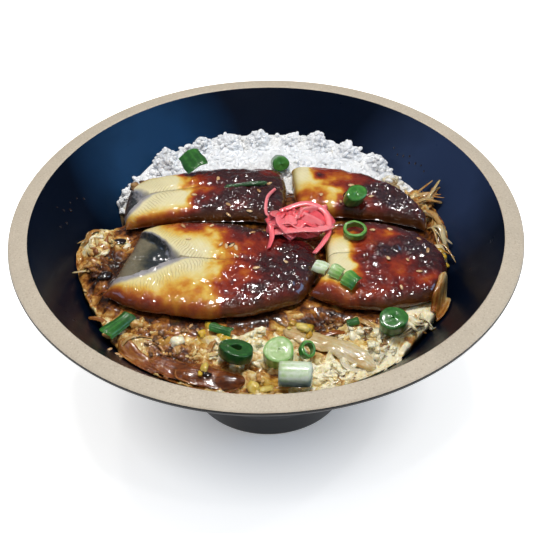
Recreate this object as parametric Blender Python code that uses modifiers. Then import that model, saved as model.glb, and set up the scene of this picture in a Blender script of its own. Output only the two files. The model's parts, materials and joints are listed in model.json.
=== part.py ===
"""Grilled eel on rice in a wide-lipped bowl.

Four glazed eel fillets lie on a bed of soft egg and onion over rice, with rings of spring
onion, slices of onion and a tuft of pickled ginger. Metres, +Z up. The origin is the centre
of the foot on the table, and -Y is the eater's side.
"""

import math
import random

import bmesh
import bpy
from mathutils import Euler, Matrix, Vector, noise
from mathutils.bvhtree import BVHTree

MM = 0.001

# Bowl, in mm
RIM_RADIUS = 105.0
RIM_HEIGHT = 89.5
LIP_WIDTH = 8.0
LIP_RISE = 0.9  # the lip's inner edge stands this much higher than its outer one
LIP_THICK = 2.8
WALL_THICK = 3.2
FLOOR_RADIUS = 28.0
FLOOR_HEIGHT = 9.0
FLOOR_FILLET = 13.0
FOOT_RADIUS = 34.5
FOOT_HEIGHT = 11.0
FOOT_WALL = 4.5
FOOT_RECESS = 5.5
BOWL_STEPS = 56

# Food, in mm
GAP = 0.6  # between neighbouring solids
BED_EDGE = 72.5  # height of the egg bed where it nears the wall
BED_CROWN = 3.5  # rise of the bed from the wall to the middle
EGG_THICK = 7.5  # the bed of egg over the rice
RICE_BACK = 73.5  # height of the rice behind the fillets
RICE_CROWN = 2.5
EEL_THICK = 8.6
GRAIN_LENGTH = 5.6
GRAIN_WIDTH = 2.6
GRAIN_COUNT = 68
SEED_LENGTH = 3.3

# Eel fillets seen from above, in mm. The eight points go round from the near left corner:
# near left, near middle, near right, right middle, far right, far middle, far left, left middle.
EELS = {
    "eel_front_left": ((-66, -27), (-27, -42.0), (12, -35.5), (21, -19),
                       (20, -3), (-20, 12.5), (-53, 10), (-57, -6)),
    "eel_front_right": ((17, -30.5), (41, -39.5), (69, -31), (73, -13),
                        (65, 3), (40, 12), (23.5, 3), (24.5, -14)),
    "eel_back_left": ((-59, 13.5), (-25, 16.5), (8, 13.5), (9.5, 30),
                      (8, 48), (-24, 50.5), (-57, 43), (-60, 27)),
    "eel_back_right": ((14, 17.5), (44, 16.5), (67, 9.5), (66, 21),
                       (52, 37), (32, 48.5), (12, 50.5), (12.5, 34)),
}

# Outline of the egg bed seen from above, in mm, anticlockwise from the far left
EGG_OUTLINE = (
    (-62, 22), (-76, 17), (-80, 4), (-77, -12), (-73, -25), (-67, -36), (-60, -50),
    (-50, -64), (-30, -77.5), (0, -83.5), (28, -79), (44, -69), (57, -53), (69, -34),
    (74, -12), (77, 8), (76, 25), (69, 38), (56, 44), (30, 41), (0, 40), (-30, 40), (-52, 34),
)
EGG_CENTRE = (0, -14)
# Heaps that stand out of the bed: x, y, rise and spread in mm
EGG_HEAPS = (
    (-70, 10, 5.0, 9), (-68, -12, 3.0, 8), (71, 12, 5.0, 8), (66, 30, 4.5, 8),
    (66, -33, 3.0, 7), (54, -46, 3.0, 9), (-52, -48, 2.5, 9), (-22, -54, 2.5, 10),
    (34, -54, 2.5, 9), (-2, -54, 2.5, 9), (42, -60, 2.0, 8),
)

# Shreds of onion that stand out of the bed: points along each one, height above the bed
EGG_SHREDS = (
    ((60, 33, -1), (65, 36, 3), (70, 39.5, 4.5)),
    ((62, 27, -1), (68, 29, 3.5), (74.5, 30, 3)),
    ((66, 16, -1), (71, 19, 4), (76.5, 18, 2.5)),
    ((68, 2, -1), (73, 1, 3), (76.5, -4, 1)),
    ((-68, 16, -1), (-73, 13, 3.5), (-77, 8, 1.5)),
    ((-66, -4, -1), (-72, -7, 3), (-76.5, -4, 1)),
    ((50, -52, -1), (56, -48, 2.5), (62, -43, 1)),
)
SHRED_WIDTH = 3.2

# Spring onion rings: x, y, outer and inner radius, length, tilt and turn in degrees
RINGS = {
    "spring_onion_ring_1": (7.0, 54.0, 3.7, 1.8, 6.0, 62, 10),
    "spring_onion_ring_2": (37.8, 19.5, 4.8, 2.6, 6.0, 24, 40),
    "spring_onion_ring_3": (36.6, -2.0, 4.9, 3.7, 2.8, 10, 0),
    "spring_onion_ring_4": (-12.5, -63.5, 7.2, 5.4, 4.4, 16, 150),
    "spring_onion_ring_5": (3.8, -63.0, 6.1, 1.3, 5.5, 10, 0),
    "spring_onion_ring_6": (14.8, -61.5, 3.7, 2.6, 2.6, 40, 60),
    "spring_onion_ring_7": (49.0, -48.8, 5.6, 3.2, 6.0, 14, 0),
    "spring_onion_stalk": (10.0, -76.8, 5.0, 2.0, 12.5, 90, 86),
}

# Flat cut leaves: x, y, length, width, turn and tilt in degrees
LEAVES = {
    "spring_onion_leaf_1": (-31.0, 47.5, 12.5, 10.5, 62, 20),
    "spring_onion_leaf_2": (-59.0, -43.0, 15.0, 6.5, 49, 12),
    "spring_onion_leaf_3": (-18.0, -49.0, 9.5, 4.0, -25, 8),
    "spring_onion_leaf_4": (33.5, -44.5, 5.0, 3.5, 15, 0),
    "spring_onion_leaf_5": (-8.0, 32.0, 18.0, 2.0, 4, 0),
    "spring_onion_slice_1": (21.8, -21.5, 6.2, 5.8, -30, 14),
    "spring_onion_slice_2": (28.0, -25.6, 5.8, 5.8, -40, 18),
    "spring_onion_slice_3": (33.6, -30.8, 6.8, 6.8, -48, 20),
}
LEAF_THICK = 1.3

# Curved onion slices: start, end, sideways bow, width and cross arch in mm
ONIONS = {
    "onion_slice_1": ((7, -49), (40, -67), 2.5, 11.5, 1.4),
    "onion_slice_2": ((-46, -60.5), (-9, -74), -2.0, 9.5, 1.6),
    "onion_slice_3": ((-58, -49), (-40, -68), -2.0, 7.0, 1.2),
    "onion_slice_4": ((67, -37), (71, -24), -1.5, 7.5, 1.4),
}
ONION_THICK = 1.8

# Ginger: where the tuft sits, and strands that leave it, each through a few points (mm)
GINGER_CENTRE = (13.5, 6.0)
GINGER_REACH = (14.5, 10.0)
GINGER_HEIGHT = 6.5
GINGER_SINK = 3.0  # how far the tuft settles between the fillets
GINGER_STRANDS = 8
GINGER_WIDTH = 3.2
GINGER_LOOSE = (
    ((4, 8, 3.5), (0.5, 14, 4.0), (1.0, 22, 3.0), (4.5, 29, 2.2)),
    ((6, 9, 5.5), (17, 12, 7.0), (25, 8, 6.5), (25.5, -2, 4.0), (19.5, -12, 1.6)),
    ((15, 10, 6.0), (22, 15, 4.5), (26, 19, 2.4)),
    ((2, 3, 4.5), (2.5, -3.5, 3.5), (1.0, -10, 1.8)),
)

# Sesame seeds scattered on each fillet
SEEDS = {"eel_front_left": 6, "eel_front_right": 4, "eel_back_left": 4, "eel_back_right": 3}


def clear_scene():
    for obj in list(bpy.data.objects):
        bpy.data.objects.remove(obj, do_unlink=True)


def make_collection(name):
    collection = bpy.data.collections.new(name)
    bpy.context.scene.collection.children.link(collection)
    return collection


def material(name, colour, roughness):
    made = bpy.data.materials.new(name)
    made.use_nodes = True
    shader = made.node_tree.nodes["Principled BSDF"]
    shader.inputs["Base Color"].default_value = (*colour, 1)
    shader.inputs["Roughness"].default_value = roughness
    shader.inputs["Metallic"].default_value = 0
    made.diffuse_color = (*colour, 1)
    return made


def add_object(name, mesh, collection, finish=None):
    obj = bpy.data.objects.new(name, mesh)
    collection.objects.link(obj)
    if finish:
        obj.data.materials.append(finish)
    return obj


def mesh_from(bm, name):
    """The bmesh as a smooth mesh in metres. Everything here is drawn in mm."""
    bmesh.ops.recalc_face_normals(bm, faces=bm.faces)
    bmesh.ops.scale(bm, vec=(MM, MM, MM), verts=bm.verts)
    mesh = bpy.data.meshes.new(name)
    bm.to_mesh(mesh)
    bm.free()
    mesh.shade_smooth()
    return mesh


def smooth_step(value):
    value = min(1.0, max(0.0, value))
    return value * value * (3 - 2 * value)


# Bowl


def arc(centre, radius, first, last, steps):
    """Points on an arc in the profile's plane, between two angles in degrees."""
    angles = (math.radians(first + (last - first) * i / steps) for i in range(steps + 1))
    return [(centre[0] + radius * math.cos(a), centre[1] + radius * math.sin(a)) for a in angles]


def inner_profile():
    """Radius and height along the inside of the bowl, from its middle to the lip."""
    lip = (RIM_RADIUS - LIP_WIDTH, RIM_HEIGHT + LIP_RISE)
    slope = math.atan2(lip[1] - FLOOR_HEIGHT, lip[0] - FLOOR_RADIUS)
    back_off = FLOOR_FILLET * math.tan(slope / 2)
    centre = (FLOOR_RADIUS - back_off, FLOOR_HEIGHT + FLOOR_FILLET)
    bend = arc(centre, FLOOR_FILLET, -90, -90 + math.degrees(slope), 3)
    return [(0, FLOOR_HEIGHT), *bend, lip]


def inner_height(radius):
    """Height of the bowl's inside at a radius."""
    points = inner_profile()
    for (r0, z0), (r1, z1) in zip(points, points[1:]):
        if radius <= r1:
            return z0 + (z1 - z0) * (radius - r0) / (r1 - r0)
    return points[-1][1]


def inner_radius(height):
    """Radius of the bowl's straight inner wall at a height."""
    (r0, z0), (r1, z1) = inner_profile()[-2:]
    return r1 - (z1 - height) * (r1 - r0) / (z1 - z0)


def build_bowl(collection):
    lip_in, lip_top = RIM_RADIUS - LIP_WIDTH, RIM_HEIGHT + LIP_RISE
    slope = math.atan2(lip_top - FLOOR_HEIGHT, lip_in - FLOOR_RADIUS)
    edge = LIP_THICK / 2
    wall_out = WALL_THICK / math.sin(slope)  # wall measured level
    under_lip = RIM_HEIGHT - LIP_THICK - 0.4
    wall_foot = FOOT_HEIGHT + 6
    profile = inner_profile()
    profile += [(lip_in + 0.6, lip_top + 0.25)]
    profile += arc((RIM_RADIUS - edge, RIM_HEIGHT - edge), edge, 85, -90, 4)
    profile += [
        (inner_radius(under_lip) + wall_out + 1.6, under_lip),
        (inner_radius(under_lip - 2) + wall_out, under_lip - 2),
        (inner_radius(wall_foot) + wall_out, wall_foot),
        (FOOT_RADIUS + 1.6, FOOT_HEIGHT),
        (FOOT_RADIUS + 0.4, 1.2),
        (FOOT_RADIUS - 0.6, 0),
        (FOOT_RADIUS - FOOT_WALL + 0.6, 0),
        (FOOT_RADIUS - FOOT_WALL - 0.4, 1.0),
        (FOOT_RADIUS - FOOT_WALL - 1.6, FOOT_RECESS),
        (0, FOOT_RECESS),
    ]
    mesh = bpy.data.meshes.new("bowl")
    mesh.from_pydata([(r * MM, 0, z * MM) for r, z in profile],
                     [(i, i + 1) for i in range(len(profile) - 1)], [])
    bowl = add_object("bowl", mesh, collection, material("melamine", (0.012, 0.019, 0.042), 0.35))
    screw = bowl.modifiers.new("turn", "SCREW")
    screw.steps = screw.render_steps = BOWL_STEPS
    screw.use_merge_vertices = True
    screw.merge_threshold = 0.00005
    screw.use_smooth_shade = True
    return bowl


# Plans and beds


def bent(a, middle, b, t):
    """A point on the parabola from a to b that passes through middle half way."""
    pull = [2 * m - (p + q) / 2 for p, m, q in zip(a, middle, b)]
    return [(1 - t) ** 2 * p + 2 * t * (1 - t) * c + t * t * q for p, c, q in zip(a, pull, b)]


def patch(corners, u, v):
    """The point of a four-sided plan at u along its length and v across it, both 0 to 1."""
    near_left, near, near_right, right, far_right, far, far_left, left = corners
    near_at = bent(near_left, near, near_right, u)
    far_at = bent(far_left, far, far_right, u)
    left_at = bent(near_left, left, far_left, v)
    right_at = bent(near_right, right, far_right, v)
    return [
        (1 - v) * near_at[i] + v * far_at[i] + (1 - u) * left_at[i] + u * right_at[i]
        - (1 - u) * (1 - v) * near_left[i] - u * (1 - v) * near_right[i]
        - (1 - u) * v * far_left[i] - u * v * far_right[i]
        for i in (0, 1)
    ]


def plan_outline(corners, steps=10):
    """Points round the edge of a four-sided plan."""
    sides = [i / steps for i in range(steps)]
    return (
        [patch(corners, t, 0) for t in sides] + [patch(corners, 1, t) for t in sides]
        + [patch(corners, 1 - t, 1) for t in sides] + [patch(corners, 0, 1 - t) for t in sides]
    )


EEL_OUTLINES = {name: plan_outline(corners) for name, corners in EELS.items()}


def distance_outside(x, y, outline):
    """How far a point lies outside a closed outline, or 0 inside it."""
    inside, nearest = False, 1e9
    for (x0, y0), (x1, y1) in zip(outline, outline[1:] + outline[:1]):
        if (y0 > y) != (y1 > y) and x < x0 + (y - y0) * (x1 - x0) / (y1 - y0):
            inside = not inside
        length = (x1 - x0) ** 2 + (y1 - y0) ** 2
        t = min(1, max(0, ((x - x0) * (x1 - x0) + (y - y0) * (y1 - y0)) / length))
        nearest = min(nearest, math.hypot(x - x0 - t * (x1 - x0), y - y0 - t * (y1 - y0)))
    return 0.0 if inside else nearest


def clear_of_eels(x, y):
    """Distance from the nearest fillet seen from above, 0 under one."""
    return min(distance_outside(x, y, outline) for outline in EEL_OUTLINES.values())


def bed_height(x, y):
    """The smooth mound that the fillets lie on."""
    reach = math.hypot(x, y) / inner_radius(BED_EDGE)
    return BED_EDGE + BED_CROWN * (1 - reach * reach)


def rice_height(x, y):
    """Top of the rice: low under the egg, and mounded where it shows at the back."""
    under_egg = bed_height(x, y) - EGG_THICK
    under_eel = bed_height(x, y) - 1.0
    behind = RICE_BACK + RICE_CROWN * (1 - ((x + 2) / 62) ** 2) - 1.5 * abs((y - 64) / 18) ** 3
    ramp = under_egg + (under_eel - under_egg) * smooth_step((y - 22) / 22)
    return ramp + max(0, behind - ramp) * smooth_step((y - 48) / 12)


def closed_spline(points, angle):
    """A smooth closed curve through the points, read at an angle that counts them round."""
    count = len(points)
    place = (angle / (2 * math.pi) % 1) * count
    i = int(place) % count
    t = place - int(place)
    p0, p1, p2, p3 = (points[(i + k) % count] for k in (-1, 0, 1, 2))
    return [
        0.5 * (2 * b + (c - a) * t + (2 * a - 5 * b + 4 * c - d) * t * t
               + (3 * b - a - 3 * c + d) * t ** 3)
        for a, b, c, d in zip(p0, p1, p2, p3)
    ]


def disc_body(name, outline, centre, top, bottom, rings, steps):
    """A closed body over a round plan: a disc of rings, its heights set by two functions."""
    bm = bmesh.new()
    chain = [bm.verts.new(((i + 1) / rings, 0, 0)) for i in range(rings)]
    edges = [bm.edges.new(pair) for pair in zip(chain, chain[1:])]
    bmesh.ops.spin(bm, geom=chain + edges, axis=(0, 0, 1), cent=(0, 0, 0),
                   angle=2 * math.pi, steps=steps, use_merge=True)
    middle = [e for e in bm.edges if e.is_boundary and e.verts[0].co.length < 1.5 / rings]
    cap = bmesh.ops.contextual_create(bm, geom=middle)["faces"]
    bmesh.ops.poke(bm, faces=cap)
    lower = bmesh.ops.extrude_face_region(bm, geom=bm.faces[:])["geom"]
    lower = {v for v in lower if isinstance(v, bmesh.types.BMVert)}
    for vert in bm.verts:
        share, angle = vert.co.xy.length, math.atan2(vert.co.y, vert.co.x)
        edge = outline(angle)
        x = centre[0] + share * (edge[0] - centre[0])
        y = centre[1] + share * (edge[1] - centre[1])
        vert.co = (x, y, bottom(x, y, share) if vert in lower else top(x, y, share))
    return mesh_from(bm, name)


def build_rice_core():
    def outline(angle):
        x, y = math.cos(angle), math.sin(angle)
        radius = inner_radius(rice_height(74 * x, 74 * y) - 2.5) - GAP
        return radius * x, radius * y

    def bottom(x, y, share):
        return inner_height(math.hypot(x, y)) + GAP

    def top(x, y, share):
        edge = smooth_step((share - 0.9) / 0.1)
        return rice_height(x, y) * (1 - edge) + (bottom(x, y, share) + 2.0) * edge

    return disc_body("rice", outline, (0, 0), top, bottom, rings=8, steps=32)


def egg_height(x, y):
    """Top of the egg bed, with its heaps and curds wherever no fillet lies on it."""
    free = smooth_step((clear_of_eels(x, y) - 1.2) / 4)
    heaps = sum(rise * math.exp(-((x - hx) ** 2 + (y - hy) ** 2) / (2 * (spread * 0.6) ** 2))
                for hx, hy, rise, spread in EGG_HEAPS)
    curds = 1.5 * noise.noise(Vector((x, y, 3)) / 7) + 0.7 * noise.noise(Vector((x, y, 9)) / 3)
    return bed_height(x, y) + free * (heaps + curds - 0.4)


def egg_shreds(egg):
    """Fuses the shreds that stick out round the edge of the bed."""
    ground = Ground([egg])
    meshes = []
    for k, points in enumerate(EGG_SHREDS):
        line = [(x, y, max(ground.height(x, y), inner_height(math.hypot(x, y)) + 3) + z)
                for x, y, z in points]
        meshes.append(strand(f"shred_{k}", line, SHRED_WIDTH, SHRED_WIDTH * 0.5, 4))
    fuse(egg, meshes)


def build_egg(ground):
    def bottom(x, y, share):
        return ground.highest(x, y, 3.5) + GAP

    def top(x, y, share):
        edge = smooth_step((share - 0.86) / 0.14)
        return max(egg_height(x, y) - 2.0 * edge, bottom(x, y, share) + 1.2)

    return disc_body("egg_and_onion", lambda angle: closed_spline(EGG_OUTLINE, angle),
                     EGG_CENTRE, top, bottom, rings=8, steps=58)


# Fillets


def eel_thickness(name, u, v):
    """Thickness of a fillet: domed lobes either side of a shallow groove, blunt edges."""
    across = abs(2 * v - 1)
    along = abs(2 * u - 1)
    dome = (1 - across ** 5) ** 0.5 * (1 - 0.5 * along ** 14)
    groove = 0.13 * math.exp(-((across / 0.09) ** 2))
    thick = EEL_THICK * (0.34 + 0.66 * dome - groove)
    if name.endswith("left"):
        # the opened belly leaves a hollow between the two lobes of the cut end
        notch = max(0.0, 1 - u / 0.26) * max(0.0, 1 - across / max(0.15, 0.62 - 1.6 * u))
        thick *= 1 - 0.75 * smooth_step(2.2 * notch)
    return thick


def build_eel(name, corners, ground, collection, finish):
    along, across = 13, 8
    bm = bmesh.new()
    bmesh.ops.create_grid(bm, x_segments=along, y_segments=across, size=1)
    lower = bmesh.ops.extrude_face_region(bm, geom=bm.faces[:])["geom"]
    lower = {v for v in lower if isinstance(v, bmesh.types.BMVert)}
    for vert in bm.verts:
        u = (vert.co.x + 1) / 2
        v = 0.5 + 0.5 * math.sin(math.pi / 2 * vert.co.y)
        x, y = patch(corners, u, v)
        z = ground.highest(x, y, 4.5) + GAP
        if vert not in lower:
            z += eel_thickness(name, u, v)
        vert.co = (x, y, z)
    return add_object(name, mesh_from(bm, name), collection, finish)


# Toppings


class Ground:
    """The tops of the pieces made so far, for what is laid on them."""

    def __init__(self, objects):
        bm = bmesh.new()
        for obj in objects:
            bm.from_mesh(obj.data)
        bmesh.ops.scale(bm, vec=(1 / MM, 1 / MM, 1 / MM), verts=bm.verts)
        self.tree = BVHTree.FromBMesh(bm)
        bm.free()

    def top(self, x, y):
        """The top of the highest piece at a point, or 0 where there is none."""
        hit = self.tree.ray_cast(Vector((x, y, 200)), Vector((0, 0, -1)))[0]
        return hit.z if hit else 0

    def around(self, x, y, reach):
        """The highest top within reach of a point."""
        turns = [k * math.pi / 4 for k in range(8)]
        spots = [(reach * math.cos(a), reach * math.sin(a)) for a in turns]
        return max(self.top(x + dx, y + dy) for dx, dy in [(0, 0), *spots])

    def covers(self, x, y, reach):
        """Whether any piece lies within reach of a point seen from above."""
        return self.around(x, y, reach) > 0

    def height(self, x, y):
        """The top of the pieces at a point, or the bowl's inside if that is higher."""
        return max(self.top(x, y), inner_height(math.hypot(x, y)))

    def highest(self, x, y, reach):
        """The top of the pieces within reach of a point, or the bowl's inside by it."""
        return max(self.around(x, y, reach), inner_height(math.hypot(x, y) + 0.35))

    def lift(self, points):
        """How far points must rise to clear what is under them by the gap."""
        return max(self.height(p.x, p.y) + GAP - p.z for p in points)


def lay(bm, ground, x, y, turn, tilt):
    """Turns and tilts a piece about its middle and sets it down on the ground."""
    place = Euler((math.radians(tilt), 0, math.radians(turn))).to_matrix().to_4x4()
    bmesh.ops.transform(bm, matrix=Matrix.Translation((x, y, 60)) @ place, verts=bm.verts)
    lift = ground.lift([v.co for v in bm.verts] + [e.verts[0].co.lerp(e.verts[1].co, 0.5)
                                                   for e in bm.edges])
    bmesh.ops.translate(bm, vec=(0, 0, lift), verts=bm.verts)


def build_ring(name, spec, ground, collection, finish):
    x, y, radius, hole, length, tilt, turn = spec
    bm = bmesh.new()
    section = [(radius, length / 2), (radius, -length / 2), (hole, -length / 2), (hole, length / 2)]
    chain = [bm.verts.new((r, 0, z)) for r, z in section]
    edges = [bm.edges.new(pair) for pair in zip(chain, chain[1:] + chain[:1])]
    bmesh.ops.spin(bm, geom=chain + edges, axis=(0, 0, 1), cent=(0, 0, 0),
                   angle=2 * math.pi, steps=12, use_merge=True)
    lay(bm, ground, x, y, turn, tilt)
    return add_object(name, mesh_from(bm, name), collection, finish)


def build_leaf(name, spec, ground, collection, finish):
    x, y, length, width, turn, tilt = spec
    bm = bmesh.new()
    bmesh.ops.create_grid(bm, x_segments=4, y_segments=3, size=0.5)
    lower = bmesh.ops.extrude_face_region(bm, geom=bm.faces[:])["geom"]
    lower = {v for v in lower if isinstance(v, bmesh.types.BMVert)}
    for vert in bm.verts:
        across = 2 * vert.co.y
        curl = 0.18 * width * (1 - across * across) + 0.25 * math.sin(5 * vert.co.x)
        vert.co = (vert.co.x * length, vert.co.y * width, curl + LEAF_THICK * (vert not in lower))
    lay(bm, ground, x, y, turn, tilt)
    return add_object(name, mesh_from(bm, name), collection, finish)


def build_onion(name, spec, ground, collection, finish):
    start, end, bow, width, arch = spec
    run = Vector(end) - Vector(start)
    side = Vector((-run.y, run.x)).normalized()
    bm = bmesh.new()
    bmesh.ops.create_grid(bm, x_segments=6, y_segments=3, size=1)
    lower = bmesh.ops.extrude_face_region(bm, geom=bm.faces[:])["geom"]
    lower = {v for v in lower if isinstance(v, bmesh.types.BMVert)}
    for vert in bm.verts:
        t, across = (vert.co.x + 1) / 2, vert.co.y
        half = width / 2 * (1 - 0.55 * abs(2 * t - 1) ** 3)
        middle = Vector(start) + run * t + side * (bow * (1 - (2 * t - 1) ** 2) + across * half)
        height = ground.highest(middle.x, middle.y, 3.2) + GAP + arch * (1 - across * across)
        vert.co = (*middle, height + ONION_THICK * (vert not in lower))
    return add_object(name, mesh_from(bm, name), collection, finish)


def strand(name, points, width, thick, steps):
    """A soft flat strip along a smooth line through the points."""
    curve = bpy.data.curves.new(name, "CURVE")
    curve.dimensions = "3D"
    line = curve.splines.new("POLY")
    line.points.add(steps)
    count = len(points) - 1
    for i in range(steps + 1):
        place = min(i / steps * count, count - 1e-6)
        k, t = int(place), place - int(place)
        p0, p1, p2, p3 = (Vector(points[min(count, max(0, k + n))]) for n in (-1, 0, 1, 2))
        co = 0.5 * (2 * p1 + (p2 - p0) * t + (2 * p0 - 5 * p1 + 4 * p2 - p3) * t * t
                    + (3 * p1 - p0 - 3 * p2 + p3) * t ** 3)
        line.points[i].co = (*(co * MM), 1)
        line.points[i].radius = 1 - 0.45 * abs(2 * i / steps - 1) ** 3
    curve.bevel_depth = (width + thick) / 4 * MM
    curve.bevel_resolution = 0
    curve.use_fill_caps = True
    obj = bpy.data.objects.new(name, curve)
    bpy.context.scene.collection.objects.link(obj)
    bpy.context.view_layer.update()
    mesh = bpy.data.meshes.new_from_object(obj.evaluated_get(bpy.context.evaluated_depsgraph_get()))
    bpy.data.objects.remove(obj)
    bm = bmesh.new()
    bm.from_mesh(mesh)
    bmesh.ops.remove_doubles(bm, verts=bm.verts, dist=0.00002)
    bmesh.ops.recalc_face_normals(bm, faces=bm.faces)
    bm.to_mesh(mesh)
    bm.free()
    return mesh


def build_ginger(ground, collection, finish):
    """A tuft: a low core with strips fused over it and a few that wander off."""
    cx, cy = GINGER_CENTRE
    wide, deep = GINGER_REACH

    def outline(angle):
        return cx + 0.85 * wide * math.cos(angle), cy + 0.85 * deep * math.sin(angle)

    level = ground.highest(cx, cy, 9) + GAP

    def bottom(x, y, share):
        return max(ground.highest(x, y, 2.5) + GAP, level - GINGER_SINK)

    def dome(share):
        return level + (GINGER_HEIGHT - GINGER_WIDTH / 2) * (1 - min(1, share) ** 3)

    def top(x, y, share):
        return max(bottom(x, y, share) + 1, dome(share))

    body = disc_body("pickled_ginger", outline, (cx, cy), top, bottom, rings=3, steps=14)
    core = add_object("pickled_ginger", body, collection, finish)
    draw = random.Random(11)
    lines = []
    for k in range(GINGER_STRANDS):
        angle = 2 * math.pi * k / GINGER_STRANDS + draw.uniform(-0.3, 0.3)
        turn = draw.uniform(1.2, 2.6)
        reach = draw.uniform(0.4, 0.75)
        line = []
        for t in (0, 0.33, 0.66, 1):
            a = angle + turn * t
            out = 0.9 - reach * math.sin(math.pi * t)
            line.append((cx + wide * out * math.cos(a), cy + deep * out * math.sin(a), dome(out) + 0.4))
        lines.append((line, GINGER_WIDTH * draw.uniform(0.7, 1.25)))
    for points in GINGER_LOOSE:
        lines.append(([(x, y, level + z) for x, y, z in points], GINGER_WIDTH * 0.8))
    pieces = []
    for k, (line, width) in enumerate(lines):
        lifted = []
        for x, y, z in line:
            rest = ground.highest(x, y, 2.6) + GAP + width / 2
            away = smooth_step(math.hypot((x - cx) / wide, (y - cy) / deep) - 0.6)
            lifted.append((x, y, max(rest, z * (1 - away) + rest * away)))
        pieces.append(strand(f"strand_{k}", lifted, width, width * 0.6, 5))
    fuse(core, pieces)
    return core


def ellipsoid(centre, size, turn, pitch, rings=3, segments=6):
    """A small seed or grain as a closed mesh, in mm."""
    bm = bmesh.new()
    bmesh.ops.create_uvsphere(bm, u_segments=segments, v_segments=rings, radius=0.5)
    bmesh.ops.rotate(bm, cent=(0, 0, 0), matrix=Matrix.Rotation(math.pi / 2, 3, "Y"), verts=bm.verts)
    bmesh.ops.scale(bm, vec=size, verts=bm.verts)
    bmesh.ops.rotate(bm, cent=(0, 0, 0), matrix=Euler((0, pitch, turn)).to_matrix(), verts=bm.verts)
    bmesh.ops.translate(bm, vec=centre, verts=bm.verts)
    return mesh_from(bm, "grain")


def fuse(core, meshes):
    """Joins the pieces to the core by one union, and drops what the union leaves loose."""
    pieces = make_collection("pieces")
    for mesh in meshes:
        add_object("piece", mesh, pieces)
    union = core.modifiers.new("fuse", "BOOLEAN")
    union.operation = "UNION"
    union.operand_type = "COLLECTION"
    union.collection = pieces
    union.solver = "MANIFOLD"
    bpy.context.view_layer.update()
    graph = bpy.context.evaluated_depsgraph_get()
    fused = bpy.data.meshes.new_from_object(core.evaluated_get(graph))
    core.modifiers.remove(union)
    core.data = fused
    for obj in list(pieces.objects):
        bpy.data.objects.remove(obj, do_unlink=True)
    bpy.data.collections.remove(pieces)
    keep_largest(core.data)
    core.data.set_sharp_from_angle(angle=math.radians(40))


def keep_largest(mesh):
    """Keeps the biggest connected shell, so that sealed hollows fill and scraps go."""
    bm = bmesh.new()
    bm.from_mesh(mesh)
    shells, seen = [], set()
    for face in bm.faces:
        if face in seen:
            continue
        shell, waiting = [], [face]
        seen.add(face)
        while waiting:
            here = waiting.pop()
            shell.append(here)
            for edge in here.edges:
                for near in edge.link_faces:
                    if near not in seen:
                        seen.add(near)
                        waiting.append(near)
        shells.append(shell)
    biggest = max(shells, key=len)
    extra = [face for shell in shells if shell is not biggest for face in shell]
    bmesh.ops.delete(bm, geom=extra, context="FACES")
    bm.to_mesh(mesh)
    bm.free()


def scatter_rice(core, cover):
    """Whole grains over the rice that shows behind the fillets."""
    draw = random.Random(5)
    ground = Ground([core])
    grains, spots = [], []
    for _ in range(4000):
        x, y = draw.uniform(-72, 66), draw.uniform(26, 82)
        turn, pitch = draw.uniform(0, math.pi), draw.uniform(-0.7, 0.7)
        z = ground.height(x, y) + 0.9
        reach = math.hypot(x, y) + GRAIN_LENGTH / 2
        crowded = any(math.hypot(x - a, y - b) < 4.4 for a, b in spots)
        if crowded or reach > inner_radius(z - 1.5) - GAP or y < 36 + 0.12 * abs(x):
            continue
        if cover.covers(x, y, GRAIN_LENGTH / 2 + 0.6):
            continue
        spots.append((x, y))
        grains.append(ellipsoid((x, y, z), (GRAIN_LENGTH, GRAIN_WIDTH, GRAIN_WIDTH * 0.9),
                                turn, pitch))
        if len(grains) == GRAIN_COUNT:
            break
    fuse(core, grains)


def scatter_seeds(eel, count, seed, cover):
    """Sesame seeds lying flat on a fillet, clear of what lies on it."""
    draw = random.Random(seed)
    ground = Ground([eel])
    seeds = []
    while len(seeds) < count:
        u, v = draw.uniform(0.25, 0.93), draw.uniform(0.18, 0.82)
        x, y = patch(EELS[eel.name], u, v)
        if cover.covers(x, y, SEED_LENGTH / 2 + 0.6):
            continue
        size = (SEED_LENGTH, SEED_LENGTH * 0.58, SEED_LENGTH * 0.4)
        seeds.append(ellipsoid((x, y, ground.height(x, y) + 0.45), size,
                               draw.uniform(0, math.pi), 0, segments=5))
    fuse(eel, seeds)


def main():
    clear_scene()
    food = make_collection("grilled_eel_on_rice")
    build_bowl(food)
    white = material("cooked_rice", (0.82, 0.82, 0.78), 0.45)
    glaze = material("glazed_eel", (0.19, 0.035, 0.012), 0.25)
    curd = material("soft_egg", (0.58, 0.42, 0.17), 0.4)
    green = material("spring_onion", (0.05, 0.25, 0.05), 0.4)
    clear_onion = material("stewed_onion", (0.55, 0.45, 0.25), 0.3)
    pink = material("pickled_ginger", (0.75, 0.09, 0.11), 0.35)

    rice = add_object("rice", build_rice_core(), food, white)
    egg = add_object("egg_and_onion", build_egg(Ground([rice])), food, curd)
    egg_shreds(egg)
    bed = Ground([rice, egg])
    eels = [build_eel(name, corners, bed, food, glaze) for name, corners in EELS.items()]
    laid = []
    for name, spec in ONIONS.items():
        bed = Ground([rice, egg, *eels, *laid])
        laid.append(build_onion(name, spec, bed, food, clear_onion))
    table = Ground([rice, egg, *eels, *laid])
    laid += [build_ring(name, spec, table, food, green) for name, spec in RINGS.items()]
    laid += [build_leaf(name, spec, table, food, green) for name, spec in LEAVES.items()]
    laid.append(build_ginger(Ground([rice, egg, *eels, *laid]), food, pink))
    scatter_rice(rice, Ground([egg, *eels, *laid]))
    for k, eel in enumerate(eels):
        scatter_seeds(eel, SEEDS[eel.name], 20 + k, Ground(laid))


main()
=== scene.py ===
# Grilled eel on rice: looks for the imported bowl, its egg bed, fillets and toppings
import json
import math
import random

import bmesh
import bpy
import numpy as np
from mathutils import Euler, Matrix, Vector
from mathutils.bvhtree import BVHTree

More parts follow.
